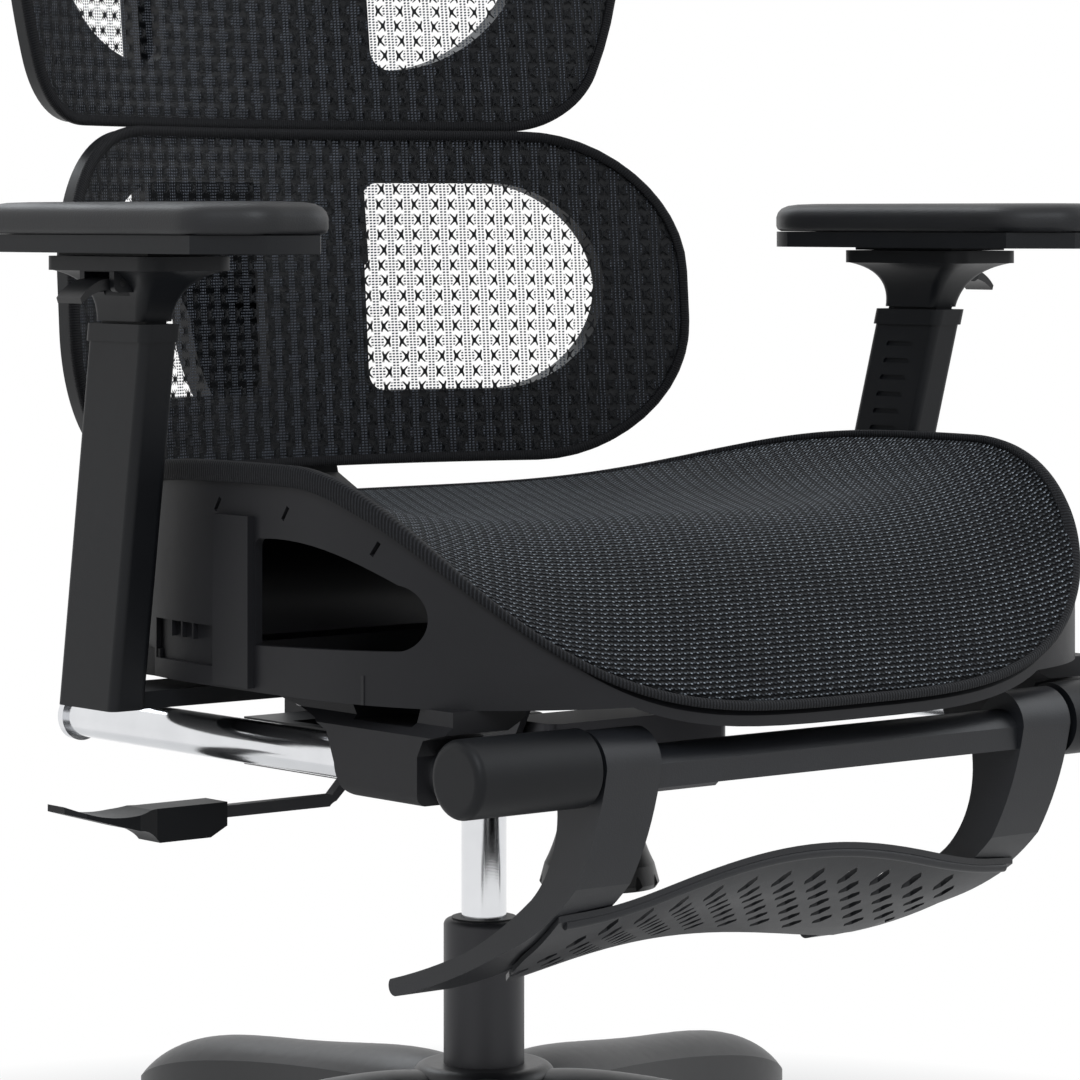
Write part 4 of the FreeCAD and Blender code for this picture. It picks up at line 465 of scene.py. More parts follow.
@dataclass(frozen=True)
class SeatWeave:
    """Dense seat mesh: thin wavy rows of pale thread with painted glints, over and under in blocks
    on dark ground.

    Lengths are in metres. Painted light from above makes the rows brighter on the seat's top than
    on its front, which begins where that painted top light starts, measured along the cloth from
    the seat's middle.
    """

    name: str
    row: float = 0.0036
    wave_length: float = 0.0046
    wave_height: float = 0.00034
    block: float = 0.0092
    # Where the painted top light begins, and how softly it fades in, along the cloth
    top_starts: float = -0.085
    top_fade: float = 0.11
    drift_size: float = 0.012
    drift_across: float = 0.0010
    drift_up: float = 0.0012
    fibre_size: float = 0.0009
    # Size of the patches in which the painted glints are stronger
    band_size: float = 0.05
    relief: float = 0.0007
    dark: Colour = (0.0018, 0.0020, 0.0028)
    lit: Colour = (0.110, 0.122, 0.145)
    # Near-white colour of the painted glints, which stand in for highlights on the threads
    glint: Colour = (0.85, 0.92, 1.0)

    def build(self) -> bpy.types.Material:
        """Make the material."""
        board = Board(bpy.data.materials.new(self.name))
        spot = board.place(uv=True)
        drift = board.noise(spot, self.drift_size, 2.0)
        across = board.along(spot, "X") + drift * self.drift_across
        up = board.along(spot, "Y") + drift * self.drift_up
        row = (up + across.wave(self.wave_length) * self.wave_height).wave(self.row)
        thread = row.over(0.58, 0.45)
        # Painted light: a mask that is 1 on the seat's top, which is painted brighter than the
        # front because light falls from above
        top = up.over(self.top_starts, self.top_fade)
        weave = across.wave(self.block) * up.wave(self.row * 4) + across.wave(self.block / 2) * 0.45
        seams = across.wave(self.wave_length / 2).over(-0.45, 0.5)
        fibre = board.noise(spot, self.fibre_size, 2.0)
        # Painted glints: some fibres of each dash, stronger in patches, are painted near white as
        # highlights
        band = board.noise(spot, self.band_size, 2.0).over(0.5, 0.6)
        dashes = thread * (0.16 + weave.over(0.0, 1.1) * 0.84) * seams
        painted_glint_mask = dashes * fibre.over(0.45, 0.35) * (0.55 + band * 0.45)
        # The threads' own colour, lifted on the top by the painted light, then the painted glints
        # over it, also stronger on the top
        body = board.blend(self.dark, self.lit, dashes * (0.35 + top * 0.65))
        colour = board.blend(body, self.glint, painted_glint_mask * (0.70 + top * 0.30))
        return board.surface(
            Base_Color=colour, Roughness=0.62 + fibre * 0.2, Specular_IOR_Level=0.07,
            Sheen_Weight=0.06, Sheen_Roughness=0.35,
            Normal=board.bump(row + fibre * 0.2, self.relief))


@dataclass(frozen=True)
class RibbedTape:
    """Ribbed edge tape: fine cross ribs along its length."""

    name: str
    rib: float = 0.0021
    pale: Colour = (0.040, 0.042, 0.047)
    dark: Colour = (0.003, 0.003, 0.004)
    fibre_size: float = 0.0012
    relief: float = 0.0005

    def build(self) -> bpy.types.Material:
        """Make the material."""
        board = Board(bpy.data.materials.new(self.name))
        spot = board.place(uv=True)
        ribs = board.along(spot, "X").wave(self.rib).over(0.0, 1.2)
        fibre = board.noise(spot, self.fibre_size, 2.0)
        return board.surface(
            Base_Color=board.blend(self.dark, self.pale, ribs * fibre), Roughness=0.7,
            Specular_IOR_Level=0.18, Normal=board.bump(ribs, self.relief))


class Finish(Enum):
    """Every finish on the chair."""

    NYLON = MouldedPlastic("moulded_nylon")
    SEAT_SHELL = MouldedPlastic(
        "seat_shell_plastic", (0.0090, 0.0090, 0.0105), (0.0150, 0.0150, 0.0170), 0.5, gloss=0.24)
    FOOTREST = MouldedPlastic(
        "footrest_plastic", (0.0100, 0.0108, 0.0130), (0.0180, 0.0190, 0.0225), 0.42,
        grain=0.0009, depth=0.00008, gloss=0.36)
    BASE = MouldedPlastic(
        "base_plastic", (0.0100, 0.0102, 0.0118), (0.0170, 0.0174, 0.0196), 0.40, gloss=0.42)
    KNOB = MouldedPlastic(
        "knob_plastic", (0.0050, 0.0052, 0.0060), (0.0090, 0.0094, 0.0106), 0.36, gloss=0.34)
    CASTER = MouldedPlastic(
        "caster_plastic", (0.010, 0.010, 0.011), (0.018, 0.018, 0.019), 0.38, gloss=0.42)
    TREAD = MouldedPlastic("caster_tread", (0.016, 0.016, 0.017), (0.030, 0.030, 0.031), 0.55)
    ROD_CHROME = Chrome("rod_chrome", "Z")
    TUBE_CHROME = Chrome("tube_chrome", "Y")
    STEEL = PowderCoat("black_steel", (0.009, 0.0092, 0.0108))
    CASTING = PowderCoat("cast_alloy", (0.011, 0.011, 0.0125), 0.0024, 0.5)
    SKIN = SoftSkin("arm_pad_skin")
    BACK_MESH = OpenWeave("back_mesh_weave")
    SEAT_MESH = SeatWeave("seat_mesh_weave")
    TAPE = RibbedTape("ribbed_tape")
    HEM = RibbedTape("panel_hem", 0.0016, (0.013, 0.014, 0.017))
    BOLT = Chrome("bolt_zinc", "Z")

    def material(self) -> bpy.types.Material:
        """The one material made for this finish."""
        found = bpy.data.materials.get(self.value.name)
        return found or self.value.build()


# Mesh helpers


def publish(bm: bmesh.types.BMesh, name: str, finish: Finish,
            body: str) -> bpy.types.Object:
    """Turn a bmesh into a smooth-shaded piece of the chair.

    Args:
        bm: the closed shape, freed here.
        name: name of the piece.
        finish: what it is made of.
        body: the body that it rides on.

    Returns:
        The new object.
    """
    if bm.calc_volume(signed=True) < 0:
        bmesh.ops.reverse_faces(bm, faces=bm.faces[:])
    for face in bm.faces:
        face.smooth = True
    mesh = bpy.data.meshes.new(name)
    bm.to_mesh(mesh)
    bm.free()
    mesh.materials.append(finish.material())
    made = bpy.data.objects.new(name, mesh)
    bpy.context.scene.collection.objects.link(made)
    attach(made, body)
    LOG.info("%s: %d faces on %s", name, len(mesh.polygons), body)
    return made


def even_points(points: Sequence[Point], count: int) -> list[Point]:
    """Spread points evenly along a closed line.

    Args:
        points: the line's corners.
        count: how many points come back.

    Returns:
        Points at equal steps.
    """
    closed = [*points, points[0]]
    runs = [math.dist(a, b) for a, b in zip(closed, closed[1:])]
    step = sum(runs) / count
    made: list[Point] = []
    index, done = 0, 0.0
    for number in range(count):
        want = number * step
        while index < len(runs) - 1 and done + runs[index] < want:
            done += runs[index]
            index += 1
        share = (want - done) / runs[index] if runs[index] else 0.0
        a, b = closed[index], closed[index + 1]
        made.append((a[0] + (b[0] - a[0]) * share, a[1] + (b[1] - a[1]) * share))
    return made


def ring_edges(made: dict[str, list]) -> list[bmesh.types.BMEdge]:
    """The edges of a ring that an operator has just made."""
    return list({edge for vert in made["verts"] for edge in vert.link_edges})


def close_holes(bm: bmesh.types.BMesh) -> None:
    """Cap every open rim of a shape."""
    bmesh.ops.holes_fill(bm, edges=[edge for edge in bm.edges if edge.is_boundary])


def outward(points: Sequence[Point], index: int) -> Point:
    """The outward direction at one point of a closed line.

    Args:
        points: the line, which runs anticlockwise.
        index: place of the point in it.

    Returns:
        A direction of length 1.
    """
    before, after = points[index - 1], points[(index + 1) % len(points)]
    run = (after[0] - before[0], after[1] - before[1])
    length = math.hypot(*run) or 1.0
    return run[1] / length, -run[0] / length


def ring_band(line: Sequence[Point], profile: Sequence[Point],
              spot: Callable[[Point, Point, Point], Vector]) -> bmesh.types.BMesh:
    """A closed strip that follows a closed line, with a UV map in metres.

    Args:
        line: the line's points.
        profile: the strip's cross-section, as distance outwards and height.
        spot: places a profile point at a line point, given the outward direction.

    Returns:
        The shape.
    """
    bm = bmesh.new()
    count = len(line)
    length = sum(math.dist(line[i], line[i - 1]) for i in range(count))
    uv = bm.loops.layers.uv.new("UVMap")
    place = bm.verts.layers.float_vector.new("place")
    rings = []
    run = 0.0
    for part, step in enumerate(profile):
        made = bmesh.ops.create_circle(bm, segments=count, radius=1.0)
        for index, vert in enumerate(made["verts"]):
            vert.co = spot(line[index], outward(line, index), step)
            vert[place] = (index / count * length, run, 0)
        rings.append(ring_edges(made))
        run += math.dist(step, profile[(part + 1) % len(profile)])
    for near, far in zip(rings, [*rings[1:], rings[0]]):
        bmesh.ops.bridge_loops(bm, edges=near + far)
    for face in bm.faces:
        far_side = max(loop.vert[place][0] for loop in face.loops)
        for loop in face.loops:
            u, v = loop.vert[place][0], loop.vert[place][1]
            if far_side - u > length / 2:
                u += length
            loop[uv].uv = (u, v)
    bmesh.ops.recalc_face_normals(bm, faces=bm.faces[:])
    return bm


# Back panels


@dataclass
class CurvedPanel:
    """Mesh cloth stretched over a curved, leaning frame, with a sewn hem round it.

    The hem is a cross-section: distance outwards from the panel's outline and towards the front.
    """

    label: str
    body: str
    half_width: float
    bottom: float
    top: float
    corner: float
    front: float
    wrap: float
    lean: float
    bow_slope: float = 0.0
    columns: int = 72
    rows: int = 44
    cloth: float = 0.0014
    edge_gap: float = 0.001
    cloth_setback: float = 0.0002
    lean_from: float = 0.006
    wrap_allowance: float = 1.05
    arc_steps: int = 12
    hem_points: int = 300
    hem: tuple[Point, ...] = (
        (-0.0060, 0.0002), (-0.0018, 0.0007), (0.0002, 0.0003), (0.0008, -0.0012),
        (0.0007, -0.0029), (-0.0011, -0.0030), (-0.0013, -0.0019), (-0.0060, -0.0019))

    @property
    def wrap_radius(self) -> float:
        """Radius of the panel's curve, seen from above."""
        return (self.half_width ** 2 + self.wrap ** 2) / (2 * self.wrap)

    def outline(self) -> list[Point]:
        """The panel's front view, anticlockwise, as x and z."""
        slope = math.radians(self.bow_slope)
        rise = self.top - self.bottom - 2 * self.corner * (1 - math.sin(slope))
        points: list[Point] = []
        if slope:
            bow = rise / (2 * math.sin(slope))
            flat = self.half_width - self.corner * math.cos(slope) - bow * (1 - math.cos(slope))
        else:
            bow, flat = 0.0, self.half_width - self.corner
        middle = (self.top + self.bottom) / 2
        quarter = math.pi / 2
        spans = [(flat, self.bottom + self.corner, self.corner, -quarter, -slope)]
        if slope:
            spans.append((self.half_width - bow, middle, bow, -slope, slope))
        spans.append((flat, self.top - self.corner, self.corner, slope, quarter))
        for x, z, radius, start, end in spans:
            for step in range(self.arc_steps + 1):
                angle = start + (end - start) * step / self.arc_steps
                points.append((x + radius * math.cos(angle), z + radius * math.sin(angle)))
        return points + [(-x, z) for x, z in reversed(points)]

    def reach_at(self, z: float, outline: Sequence[Point]) -> float:
        """Half the panel's width at a height.

        Args:
            z: the height.
            outline: the panel's front view.

        Returns:
            Distance from the middle to the edge.
        """
        right = [point for point in outline if point[0] > 0]
        for low, high in zip(right, right[1:]):
            if low[1] <= z <= high[1] and high[1] > low[1]:
                return low[0] + (high[0] - low[0]) * (z - low[1]) / (high[1] - low[1])
        return right[0][0] if z < right[0][1] else right[-1][0]

    def depth(self, x: float, z: float) -> float:
        """How far back the cloth's front face lies.

        Args:
            x: place across the panel.
            z: height.

        Returns:
            The y of the front face.
        """
        fall = self.wrap_radius - math.sqrt(max(self.wrap_radius ** 2 - x ** 2, 0.0))
        return self.front + self.lean * (z - self.bottom + self.lean_from) - fall

    def build_cloth(self) -> None:
        """Stretch the mesh over the panel."""
        outline = self.outline()
        bm = bmesh.new()
        bmesh.ops.create_grid(bm, x_segments=self.columns, y_segments=self.rows, size=1.0)
        uv = bm.loops.layers.uv.new("UVMap")
        limit = max(vert.co.x for vert in bm.verts)
        middle = (self.top + self.bottom) / 2
        half = (self.top - self.bottom) / 2 - self.edge_gap
        radius = self.wrap_radius
        for vert in bm.verts:
            share, level = vert.co.x / limit, vert.co.y / limit
            z = middle + half * math.sin(level * math.pi / 2)
            x = share * (self.reach_at(z, outline) - self.edge_gap)
            vert.co = (x, self.depth(x, z) + self.cloth_setback, z)
        for face in bm.faces:
            for loop in face.loops:
                x, z = loop.vert.co.x, loop.vert.co.z
                loop[uv].uv = (radius * math.asin(x / radius), z)
        bmesh.ops.remove_doubles(bm, verts=bm.verts[:], dist=1e-6)
        bmesh.ops.recalc_face_normals(bm, faces=bm.faces[:])
        area = sum(face.calc_area() for face in bm.faces)
        bmesh.ops.solidify(bm, geom=bm.faces[:], thickness=self.cloth)
        behind = min(vert.co.y - self.depth(vert.co.x, vert.co.z) for vert in bm.verts)
        if behind < -self.cloth / 2:
            bmesh.ops.translate(bm, verts=bm.verts[:], vec=(0, self.cloth, 0))
        made = publish(bm, f"{self.label}_cloth", Finish.BACK_MESH, self.body)
        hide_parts(f"{self.label}_mesh")
        size = (2 * self.half_width * self.wrap_allowance, self.top - self.bottom)
        min(area, size[0] * size[1])

    def build_hem(self) -> None:
        """Sew the hem round the edge."""

        def spot(place: Point, way: Point, step: Point) -> Vector:
            """Put one hem point beside the outline."""
            x, z = place[0] + way[0] * step[0], place[1] + way[1] * step[0]
            return Vector((x, self.depth(place[0], place[1]) - step[1], z))

        band = ring_band(even_points(self.outline(), self.hem_points), self.hem, spot)
        publish(band, f"{self.label}_hem", Finish.HEM, self.body)

    def build(self) -> None:
        """Make the cloth and its hem."""
        self.build_cloth()
        self.build_hem()


# Seat


@dataclass
class SeatCover:
    """Dense mesh over the seat frame: level behind, raised at the sides, falling away in front.

    The rim's plan is two half ovals, one with the front's depth and power, one with the rear's. The
    tape is a cross-section: distance outwards from the rim and height over the cloth. What hangs
    below the cloth shrinks to thin_share of its height in front of thin_from. The apron's insets
    are measured inwards from the rim.
    """

    half_width: float = 0.271
    middle: float = -0.126
    front_depth: float = 0.209
    rear_depth: float = 0.251
    level: float = 0.487
    drop: float = 0.093
    drop_start: float = -0.160
    drop_power: float = 2.0
    side_lift: float = 0.037
    lift_power: float = 4.3
    front_power: float = 3.2
    rear_power: float = 3.0
    cloth: float = 0.0028
    inset: float = 0.0013
    turned_under: float = 0.04
    squares: int = 110
    arc_steps: int = 24
    tape: tuple[Point, ...] = (
        (-0.0065, 0.0006), (-0.0020, 0.0011), (0.0006, 0.0004), (0.0014, -0.0016),
        (0.0017, -0.0060), (0.0012, -0.0105), (-0.0004, -0.0110), (-0.0011, -0.0090),
        (-0.0011, -0.0044), (-0.0020, -0.0036), (-0.0065, -0.0032))
    thin_from: float = -0.215
    thin_over: float = 0.080
    thin_share: float = 0.42
    rim_steps: int = 720
    tape_points: int = 480
    apron_from: float = 0.040
    apron_levels: Point = (0.3900, 0.4660)
    apron_insets: Point = (0.0066, 0.0092)
    apron_steps: int = 96

    def height(self, x: float, y: float) -> float:
        """Height of the cloth's top face.

        Args:
            x: place across the seat.
            y: place along it.

        Returns:
            The height.
        """
        run = self.drop_start - self.middle + self.front_depth
        fall = self.drop * (max(0.0, self.drop_start - y) / run) ** self.drop_power
        return self.level - fall + self.side_lift * (abs(x) / self.half_width) ** self.lift_power

    def rim(self, angle: float, inset: float = 0.0) -> Point:
        """The seat's plan outline in one direction.

        Args:
            angle: the direction, 0 to the left and a quarter turn to the rear.
            inset: distance inwards from the outline.

        Returns:
            The point, as x and y.
        """
        cosine, sine = math.cos(angle), math.sin(angle)
        power, depth = self.rear_power, self.rear_depth
        if sine < 0:
            power, depth = self.front_power, self.front_depth
        x = math.copysign(abs(cosine) ** (2 / power), cosine) * (self.half_width - inset)
        y = math.copysign(abs(sine) ** (2 / power), sine) * (depth - inset)
        return x, self.middle + y

    def build_cloth(self) -> None:
        """Stretch the seat mesh over its rim."""
        bm = bmesh.new()
        bmesh.ops.create_grid(bm, x_segments=self.squares, y_segments=self.squares, size=1.0)
        uv = bm.loops.layers.uv.new("UVMap")
        limit = max(vert.co.x for vert in bm.verts)
        for vert in bm.verts:
            s, t = vert.co.x / limit, vert.co.y / limit
            reach = max(abs(s), abs(t))
            x, y = self.rim(math.atan2(t, s), self.inset)
            x, y = x * reach, self.middle + (y - self.middle) * reach
            vert.co = (x, y, self.height(x, y))
        for face in bm.faces:
            for loop in face.loops:
                spot = loop.vert.co
                loop[uv].uv = (spot.x, self.arc_to(spot.y))
        bmesh.ops.recalc_face_normals(bm, faces=bm.faces[:])
        area = sum(face.calc_area() for face in bm.faces)
        bmesh.ops.solidify(bm, geom=bm.faces[:], thickness=self.cloth)
        highest = max(vert.co.z - self.height(vert.co.x, vert.co.y) for vert in bm.verts)
        if highest > self.cloth / 2:
            bmesh.ops.translate(bm, verts=bm.verts[:], vec=(0, 0, -self.cloth))
        made = publish(bm, "seat_cloth", Finish.SEAT_MESH, "seat")
        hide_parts("seat_mesh")
        size = (2 * self.half_width, self.front_depth + self.rear_depth + self.turned_under)
        min(area, size[0] * size[1])

    def arc_to(self, y: float) -> float:
        """Length along the cloth from the seat's middle, by which the rows keep their pitch.

        Args:
            y: where the length ends.

        Returns:
            The length, below 0 in front of the middle.
        """
        total, last = 0.0, (self.middle, self.height(0, self.middle))
        for step in range(1, self.arc_steps + 1):
            here = self.middle + (y - self.middle) * step / self.arc_steps
            point = (here, self.height(0, here))
            total += math.dist(point, last)
            last = point
        return math.copysign(total, y - self.middle)

    def build_tape(self) -> None:
        """Bind the rim with ribbed tape."""

        def spot(place: Point, way: Point, step: Point) -> Vector:
            """Put one tape point beside the rim, in a tape that thins out towards the front."""
            x, y = place[0] + way[0] * step[0], place[1] + way[1] * step[0]
            front = min(1.0, max(0.0, (self.thin_from - place[1]) / self.thin_over))
            share = 1.0 - (1.0 - self.thin_share) * front if step[1] < 0 else 1.0
            return Vector((x, y, self.height(place[0], place[1]) + step[1] * share))

        turns = [2 * math.pi * step / self.rim_steps for step in range(self.rim_steps)]
        line = even_points([self.rim(turn) for turn in turns], self.tape_points)
        publish(ring_band(line, self.tape, spot), "seat_binding", Finish.TAPE, "seat")

    def build_apron(self) -> None:
        """Close the rear of the seat frame below its rail, as seen through the side windows."""
        bm = bmesh.new()
        share = (self.apron_from - self.middle) / self.rear_depth
        start = math.asin(min(1.0, share ** (self.rear_power / 2)))
        steps = self.apron_steps
        angles = [start + (math.pi - 2 * start) * step / steps for step in range(steps + 1)]
        outer_low, outer_high, inner_low, inner_high = (
            [bm.verts.new((*self.rim(angle, inset), level)) for angle in angles]
            for inset in self.apron_insets for level in self.apron_levels)
        edges = (outer_low, outer_high, inner_high, inner_low)
        for near, far in zip(edges, (*edges[1:], edges[0])):
            for index in range(steps):
                bm.faces.new((near[index], near[index + 1], far[index + 1], far[index]))
        for index in (0, steps):
            bm.faces.new([edge[index] for edge in edges])
        bmesh.ops.recalc_face_normals(bm, faces=bm.faces[:])
        publish(bm, "seat_rear_apron", Finish.SEAT_SHELL, "seat")

    def build(self) -> None:
        """Make the cloth, its binding and the rear apron."""
        self.build_cloth()
        self.build_tape()
        self.build_apron()


# Armrests


@dataclass
class ArmPad:
    """Skinned foam top of one armrest, crowned, with cut and eased corners.

    A cut is how much of the width and of the length a corner loses. A ring of the stack is its
    inset and its height over the bottom.
    """

    letter: str
    middle_x: float
    middle_y: float = -0.090
    half_width: float = 0.047
    half_length: float = 0.135
    bottom: float = 0.6523
    front_cut: Point = (0.026, 0.034)
    rear_cut: Point = (0.022, 0.030)
    corner_ease: float = 0.012
    ease_limit: float = 0.45
    ease_steps: int = 6
    points: int = 200
    rings: tuple[Point, ...] = (
        (0.0030, 0.0), (0.0008, 0.0012), (0.0, 0.0034), (0.0, 0.0092), (0.0010, 0.0124),
        (0.0032, 0.0150), (0.0070, 0.0168), (0.0130, 0.0177), (0.0240, 0.0181), (0.0380, 0.0182))

    def outline(self) -> list[Point]:
        """The pad's plan round its middle, with each corner eased."""
        width, length = self.half_width, self.half_length
        (front_x, front_y), (rear_x, rear_y) = self.front_cut, self.rear_cut
        left = [(width - front_x, -length), (width, -length + front_y),
                (width, length - rear_y), (width - rear_x, length)]
        right = [(-x, y) for x, y in reversed(left)]
        corners = [right[-1], *left, *right[:-1]]
        points: list[Point] = []
        for index, corner in enumerate(corners):
            legs = []
            for other in (corners[index - 1], corners[(index + 1) % len(corners)]):
                reach = min(self.corner_ease / math.dist(corner, other), self.ease_limit)
                legs.append([a + (b - a) * reach for a, b in zip(corner, other)])
            for share in (step / self.ease_steps for step in range(self.ease_steps + 1)):
                points.append(tuple(
                    near * (1 - share) ** 2 + tip * 2 * share * (1 - share) + far * share ** 2
                    for near, tip, far in zip(legs[0], corner, legs[1])))
        return even_points(points, self.points)

    def build(self) -> None:
        """Make the pad from a stack of shrinking rings."""
        line = self.outline()
        bm = bmesh.new()
        rings = []
        for inset, rise in self.rings:
            made = bmesh.ops.create_circle(bm, segments=len(line), radius=1.0)
            shrink_x, shrink_y = 1 - inset / self.half_width, 1 - inset / self.half_length
            for (x, y), vert in zip(line, made["verts"]):
                vert.co = (self.middle_x + x * shrink_x, self.middle_y + y * shrink_y,
                           self.bottom + rise)
            rings.append(ring_edges(made))
        for near, far in zip(rings, rings[1:]):
            bmesh.ops.bridge_loops(bm, edges=near + far)
        close_holes(bm)
        bmesh.ops.recalc_face_normals(bm, faces=bm.faces[:])
        made = publish(
            bm, f"armpad_cover_{self.letter}", Finish.SKIN, f"armpad_{self.letter}")
        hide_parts(f"armpad_top_{self.letter}")


# Fasteners


@dataclass
class PanScrew:
    """A round-headed screw with a shallow dimple in its crown.

    The flatness, and the dimple's width and depth, are shares of the radius.
    """

    name: str
    body: str
    place: Vector
    facing: Vector
    radius: float
    flatness: float = 0.5
    dimple_width: float = 0.3
    dimple_depth: float = 0.25

    def build(self) -> None:
        """Make the screw head."""
        bm = bmesh.new()
        bmesh.ops.create_uvsphere(bm, u_segments=24, v_segments=12, radius=self.radius)
        bmesh.ops.bisect_plane(
            bm, geom=bm.verts[:] + bm.edges[:] + bm.faces[:], plane_co=(0, 0, 0),
            plane_no=(0, 0, -1), clear_outer=True)
        close_holes(bm)
        bmesh.ops.scale(bm, verts=bm.verts[:], vec=(1, 1, self.flatness))
        dimple = self.radius * self.dimple_width
        crown = [vert for vert in bm.verts if vert.co.xy.length < dimple and vert.co.z > 0.0001]
        bmesh.ops.translate(bm, verts=crown, vec=(0, 0, -self.radius * self.dimple_depth))
        turn = self.facing.to_track_quat("Z", "Y").to_matrix()
        bmesh.ops.rotate(bm, verts=bm.verts[:], cent=(0, 0, 0), matrix=turn)
        bmesh.ops.translate(bm, verts=bm.verts[:], vec=self.place)
        publish(bm, self.name, Finish.BOLT, self.body)


# The CAD parts


class FrameDress:
    """Gives every solid that stays on show its finish."""

    FINISHES: dict[Finish, tuple[str, ...]] = {
        Finish.BASE: ("star_base",),
        Finish.NYLON: (
            "back_bracket", "spine", "upper_frame", "lumbar_frame", "headrest_frame",
            "arm_bracket", "arm_head", "arm_post", "armpad_base", "swivel_plate", "column_bushing",
            "elbow", "lever_paddle"),
        Finish.SEAT_SHELL: ("seat_frame", "guide_bracket"),
        Finish.FOOTREST: ("footrest_frame", "footrest_pad"),
        Finish.KNOB: ("tension_knob", "arm_trigger"),
        Finish.CASTER: ("caster_hood",),
        Finish.TREAD: ("caster_wheels",),
        Finish.ROD_CHROME: ("gas_rod",),
        Finish.TUBE_CHROME: ("slide_tube",),
        Finish.STEEL: (
            "column_tube", "seat_plate", "recline_axle", "seat_axle", "lever_rod", "valve_pin",
            "headrest_stem"),
        Finish.CASTING: ("tilt_housing",),
    }

    def finish_of(self, node: str) -> Finish:
        """The finish of a node, found by the longest name that it starts with.

        Args:
            node: the node's name.

        Returns:
            The finish.
        """
        found = [
            (len(stem), finish.name) for finish, stems in self.FINISHES.items() for stem in stems
            if node.startswith(stem)]
        return Finish[max(found)[1]] if found else Finish.NYLON

    def build(self) -> None:
        """Paint each node."""
        for node, piece in FRAME["nodes"].items():
            if piece.hide_render:
                continue
            piece.data.materials.clear()
            piece.data.materials.append(self.finish_of(node).material())
            LOG.info("%s: %s", node, self.finish_of(node).name)


# Studio


@dataclass(frozen=True)
class Softbox:
    """A round soft lamp that faces the seat: its width in metres, its power in watts."""

    name: str
    place: tuple[float, float, float]
    size: float
    power: float
    colour: Colour = (0.90, 0.95, 1.0)
    aim: tuple[float, float, float] = (0, -0.05, 0.5)

    def build(self) -> None:
        """Hang the lamp."""
        data = bpy.data.lights.new(self.name, "AREA")
        data.shape, data.size, data.energy = "DISK", self.size, self.power
        data.color = self.colour
        made = bpy.data.objects.new(self.name, data)
        made.location = self.place
        toward = Vector(self.aim) - made.location
        made.rotation_euler = toward.to_track_quat("-Z", "Y").to_euler()
        bpy.context.scene.collection.objects.link(made)


@dataclass
class Studio:
    """Camera at the photograph's place, soft lamps, and a pale floor that fades into white.

    The floor's fade is measured in squared metres from the middle.
    """

    turn: float = 39.0
    distance: float = 2.724
    eye_height: float = 0.663
    lens: float = 146.67
    sensor_width: float = 36.0
    shift: Point = (0.0519, -0.3009)
    ambient: float = 0.40
    sky_colour: Colour = (0.88, 0.94, 1.0)
    floor_colour: Colour = (0.92, 0.89, 0.86)
    floor_radius: float = 6.0
    floor_drop: float = 0.0006
    floor_fade: Point = (0.42, 0.45)
    floor_glow: float = 0.55
    lamps: tuple[Softbox, ...] = (
        Softbox("key_softbox", (-1.5, -1.6, 2.3), 1.4, 26.0),
        Softbox("fill_softbox", (1.9, -1.0, 1.5), 1.6, 12.0),
        Softbox("back_softbox", (0.3, 1.9, 2.2), 1.4, 16.0))

    def camera(self) -> None:
        """Set up the camera."""
        angle = math.radians(self.turn)
        data = bpy.data.cameras.new("photo_camera")
        data.lens, data.sensor_width = self.lens, self.sensor_width
        data.shift_x, data.shift_y = self.shift
        made = bpy.data.objects.new("photo_camera", data)
        made.location = (
            -self.distance * math.sin(angle), -self.distance * math.cos(angle), self.eye_height)
        made.rotation_euler = (math.pi / 2, 0, -angle)
        bpy.context.scene.collection.objects.link(made)
        bpy.context.scene.camera = made

    def world(self) -> None:
        """White behind the chair, plain light round it."""
        sky = bpy.data.worlds.new("studio")
        bpy.context.scene.world = sky
        board = Board(sky)
        path = board.node("ShaderNodeLightPath")
        seen = board.wire(path, "Is Camera Ray").most(board.wire(path, "Is Glossy Ray"))
        seen = seen.most(board.wire(path, "Is Transmission Ray"))
        level = board.node("ShaderNodeMapRange", None, Value=seen, To_Min=self.ambient, To_Max=1.0)
        shine = board.node(
            "ShaderNodeBackground", None, Color=board.blend(self.sky_colour, WHITE, seen),
            Strength=board.wire(level))
        board.node("ShaderNodeOutputWorld", None, board.wire(shine))

    def floor(self) -> None:
        """A pale disc whose far part shows as plain white."""
        bm = bmesh.new()
        bmesh.ops.create_circle(bm, cap_ends=True, segments=96, radius=self.floor_radius)
        bmesh.ops.translate(bm, verts=bm.verts[:], vec=(0, 0, -self.floor_drop))
        mesh = bpy.data.meshes.new("studio_floor")
        bm.to_mesh(mesh)
        bm.free()
        made = bpy.data.objects.new("studio_floor", mesh)
        bpy.context.scene.collection.objects.link(made)
        board = Board(bpy.data.materials.new("pale_floor"))
        spot = board.place()
        x, y = board.along(spot, "X"), board.along(spot, "Y")
        fade = (x * x + y * y).over(*self.floor_fade).most(self.floor_glow)
        path = board.node("ShaderNodeLightPath")
        seen = board.wire(path, "Is Camera Ray").most(board.wire(path, "Is Glossy Ray"))
        matt = board.wire(board.node("ShaderNodeBsdfDiffuse", None, Color=self.floor_colour))
        glow = board.wire(board.node("ShaderNodeEmission", None, Color=WHITE, Strength=1.0))
        mixed = board.node("ShaderNodeMixShader", None, fade * seen, matt, glow)
        board.node("ShaderNodeOutputMaterial", None, board.wire(mixed))
        mesh.materials.append(board.owner)

    def build(self) -> None:
        """Set the studio up."""
        bpy.context.scene.view_settings.view_transform = "Standard"
        self.camera()
        self.world()
        self.floor()
        for lamp in self.lamps:
            lamp.build()


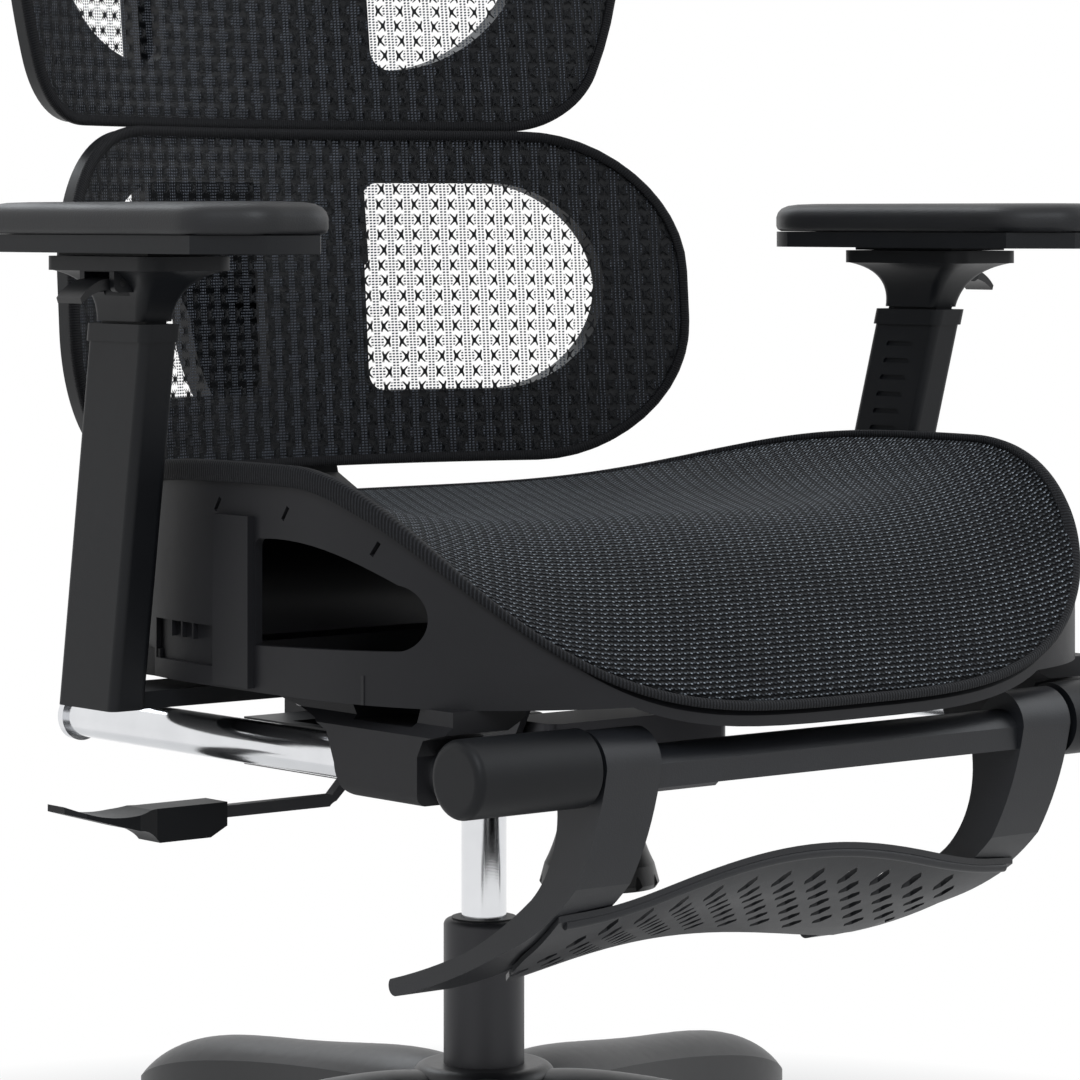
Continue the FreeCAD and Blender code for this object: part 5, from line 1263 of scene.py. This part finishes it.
def back_panels() -> list[CurvedPanel]:
    """The three mesh panels, from the lumbar up."""
    # The upper panel leans with the spine and lies in front of it by its frame and two gaps
    spine_back, spine_rise = 0.041, 0.398
    lean = spine_back / spine_rise
    knee_y, knee_z, panel_foot, spine_half = 0.240, 0.612, 0.714, 0.010
    frame_depth, frame_gap, cloth_gap = 0.012, 0.003, 0.0006
    spine_face = knee_y + lean * (panel_foot - knee_z) - spine_half
    upper_front = spine_face - frame_depth - frame_gap - cloth_gap
    return [
        CurvedPanel("lumbar", "lumbar", half_width=0.247, bottom=0.501, top=0.718, corner=0.092,
                    front=0.163, wrap=0.083, lean=0.07),
        CurvedPanel("upper", "back", half_width=0.245, bottom=0.720, top=1.010, corner=0.058,
                    front=upper_front, wrap=0.084, lean=lean, bow_slope=20.0),
        CurvedPanel("headrest", "headrest", half_width=0.150, bottom=1.092, top=1.232,
                    corner=0.046, front=0.246, wrap=0.046, lean=0.07, columns=48, rows=32)]


def guide_bolts() -> list[PanScrew]:
    """The bolts that hold the guide brackets, under their rear ears and on their inner faces."""
    made = []
    for letter, side in (("r", -1), ("l", 1)):
        for label, place, facing, radius in (
                ("ear", (side * 0.241, -0.138, 0.3905), (0, 0, -1), 0.0055),
                ("side", (side * 0.214, -0.224, 0.376), (-side, 0, 0), 0.0050)):
            made.append(PanScrew(
                f"guide_{label}_bolt_{letter}", "seat", Vector(place), Vector(facing), radius))
    return made


def arm_pads() -> list[ArmPad]:
    """One pad for each side, over an upright that leans out from its foot."""
    foot_x, splay, foot_z, top_z = 0.297, 0.056, 0.381, 0.632
    middle = foot_x + splay * (top_z - foot_z)
    return [ArmPad("r", -middle), ArmPad("l", middle)]


def main() -> None:
    """Build and dress the chair."""
    logging.basicConfig(level=logging.INFO, format="%(name)s: %(message)s")
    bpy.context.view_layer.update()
    Studio().build()
    for panel in back_panels():
        panel.build()
    SeatCover().build()
    for pad in arm_pads():
        pad.build()
    for bolt in guide_bolts():
        bolt.build()
    FrameDress().build()


if __name__ == "__main__":
    main()
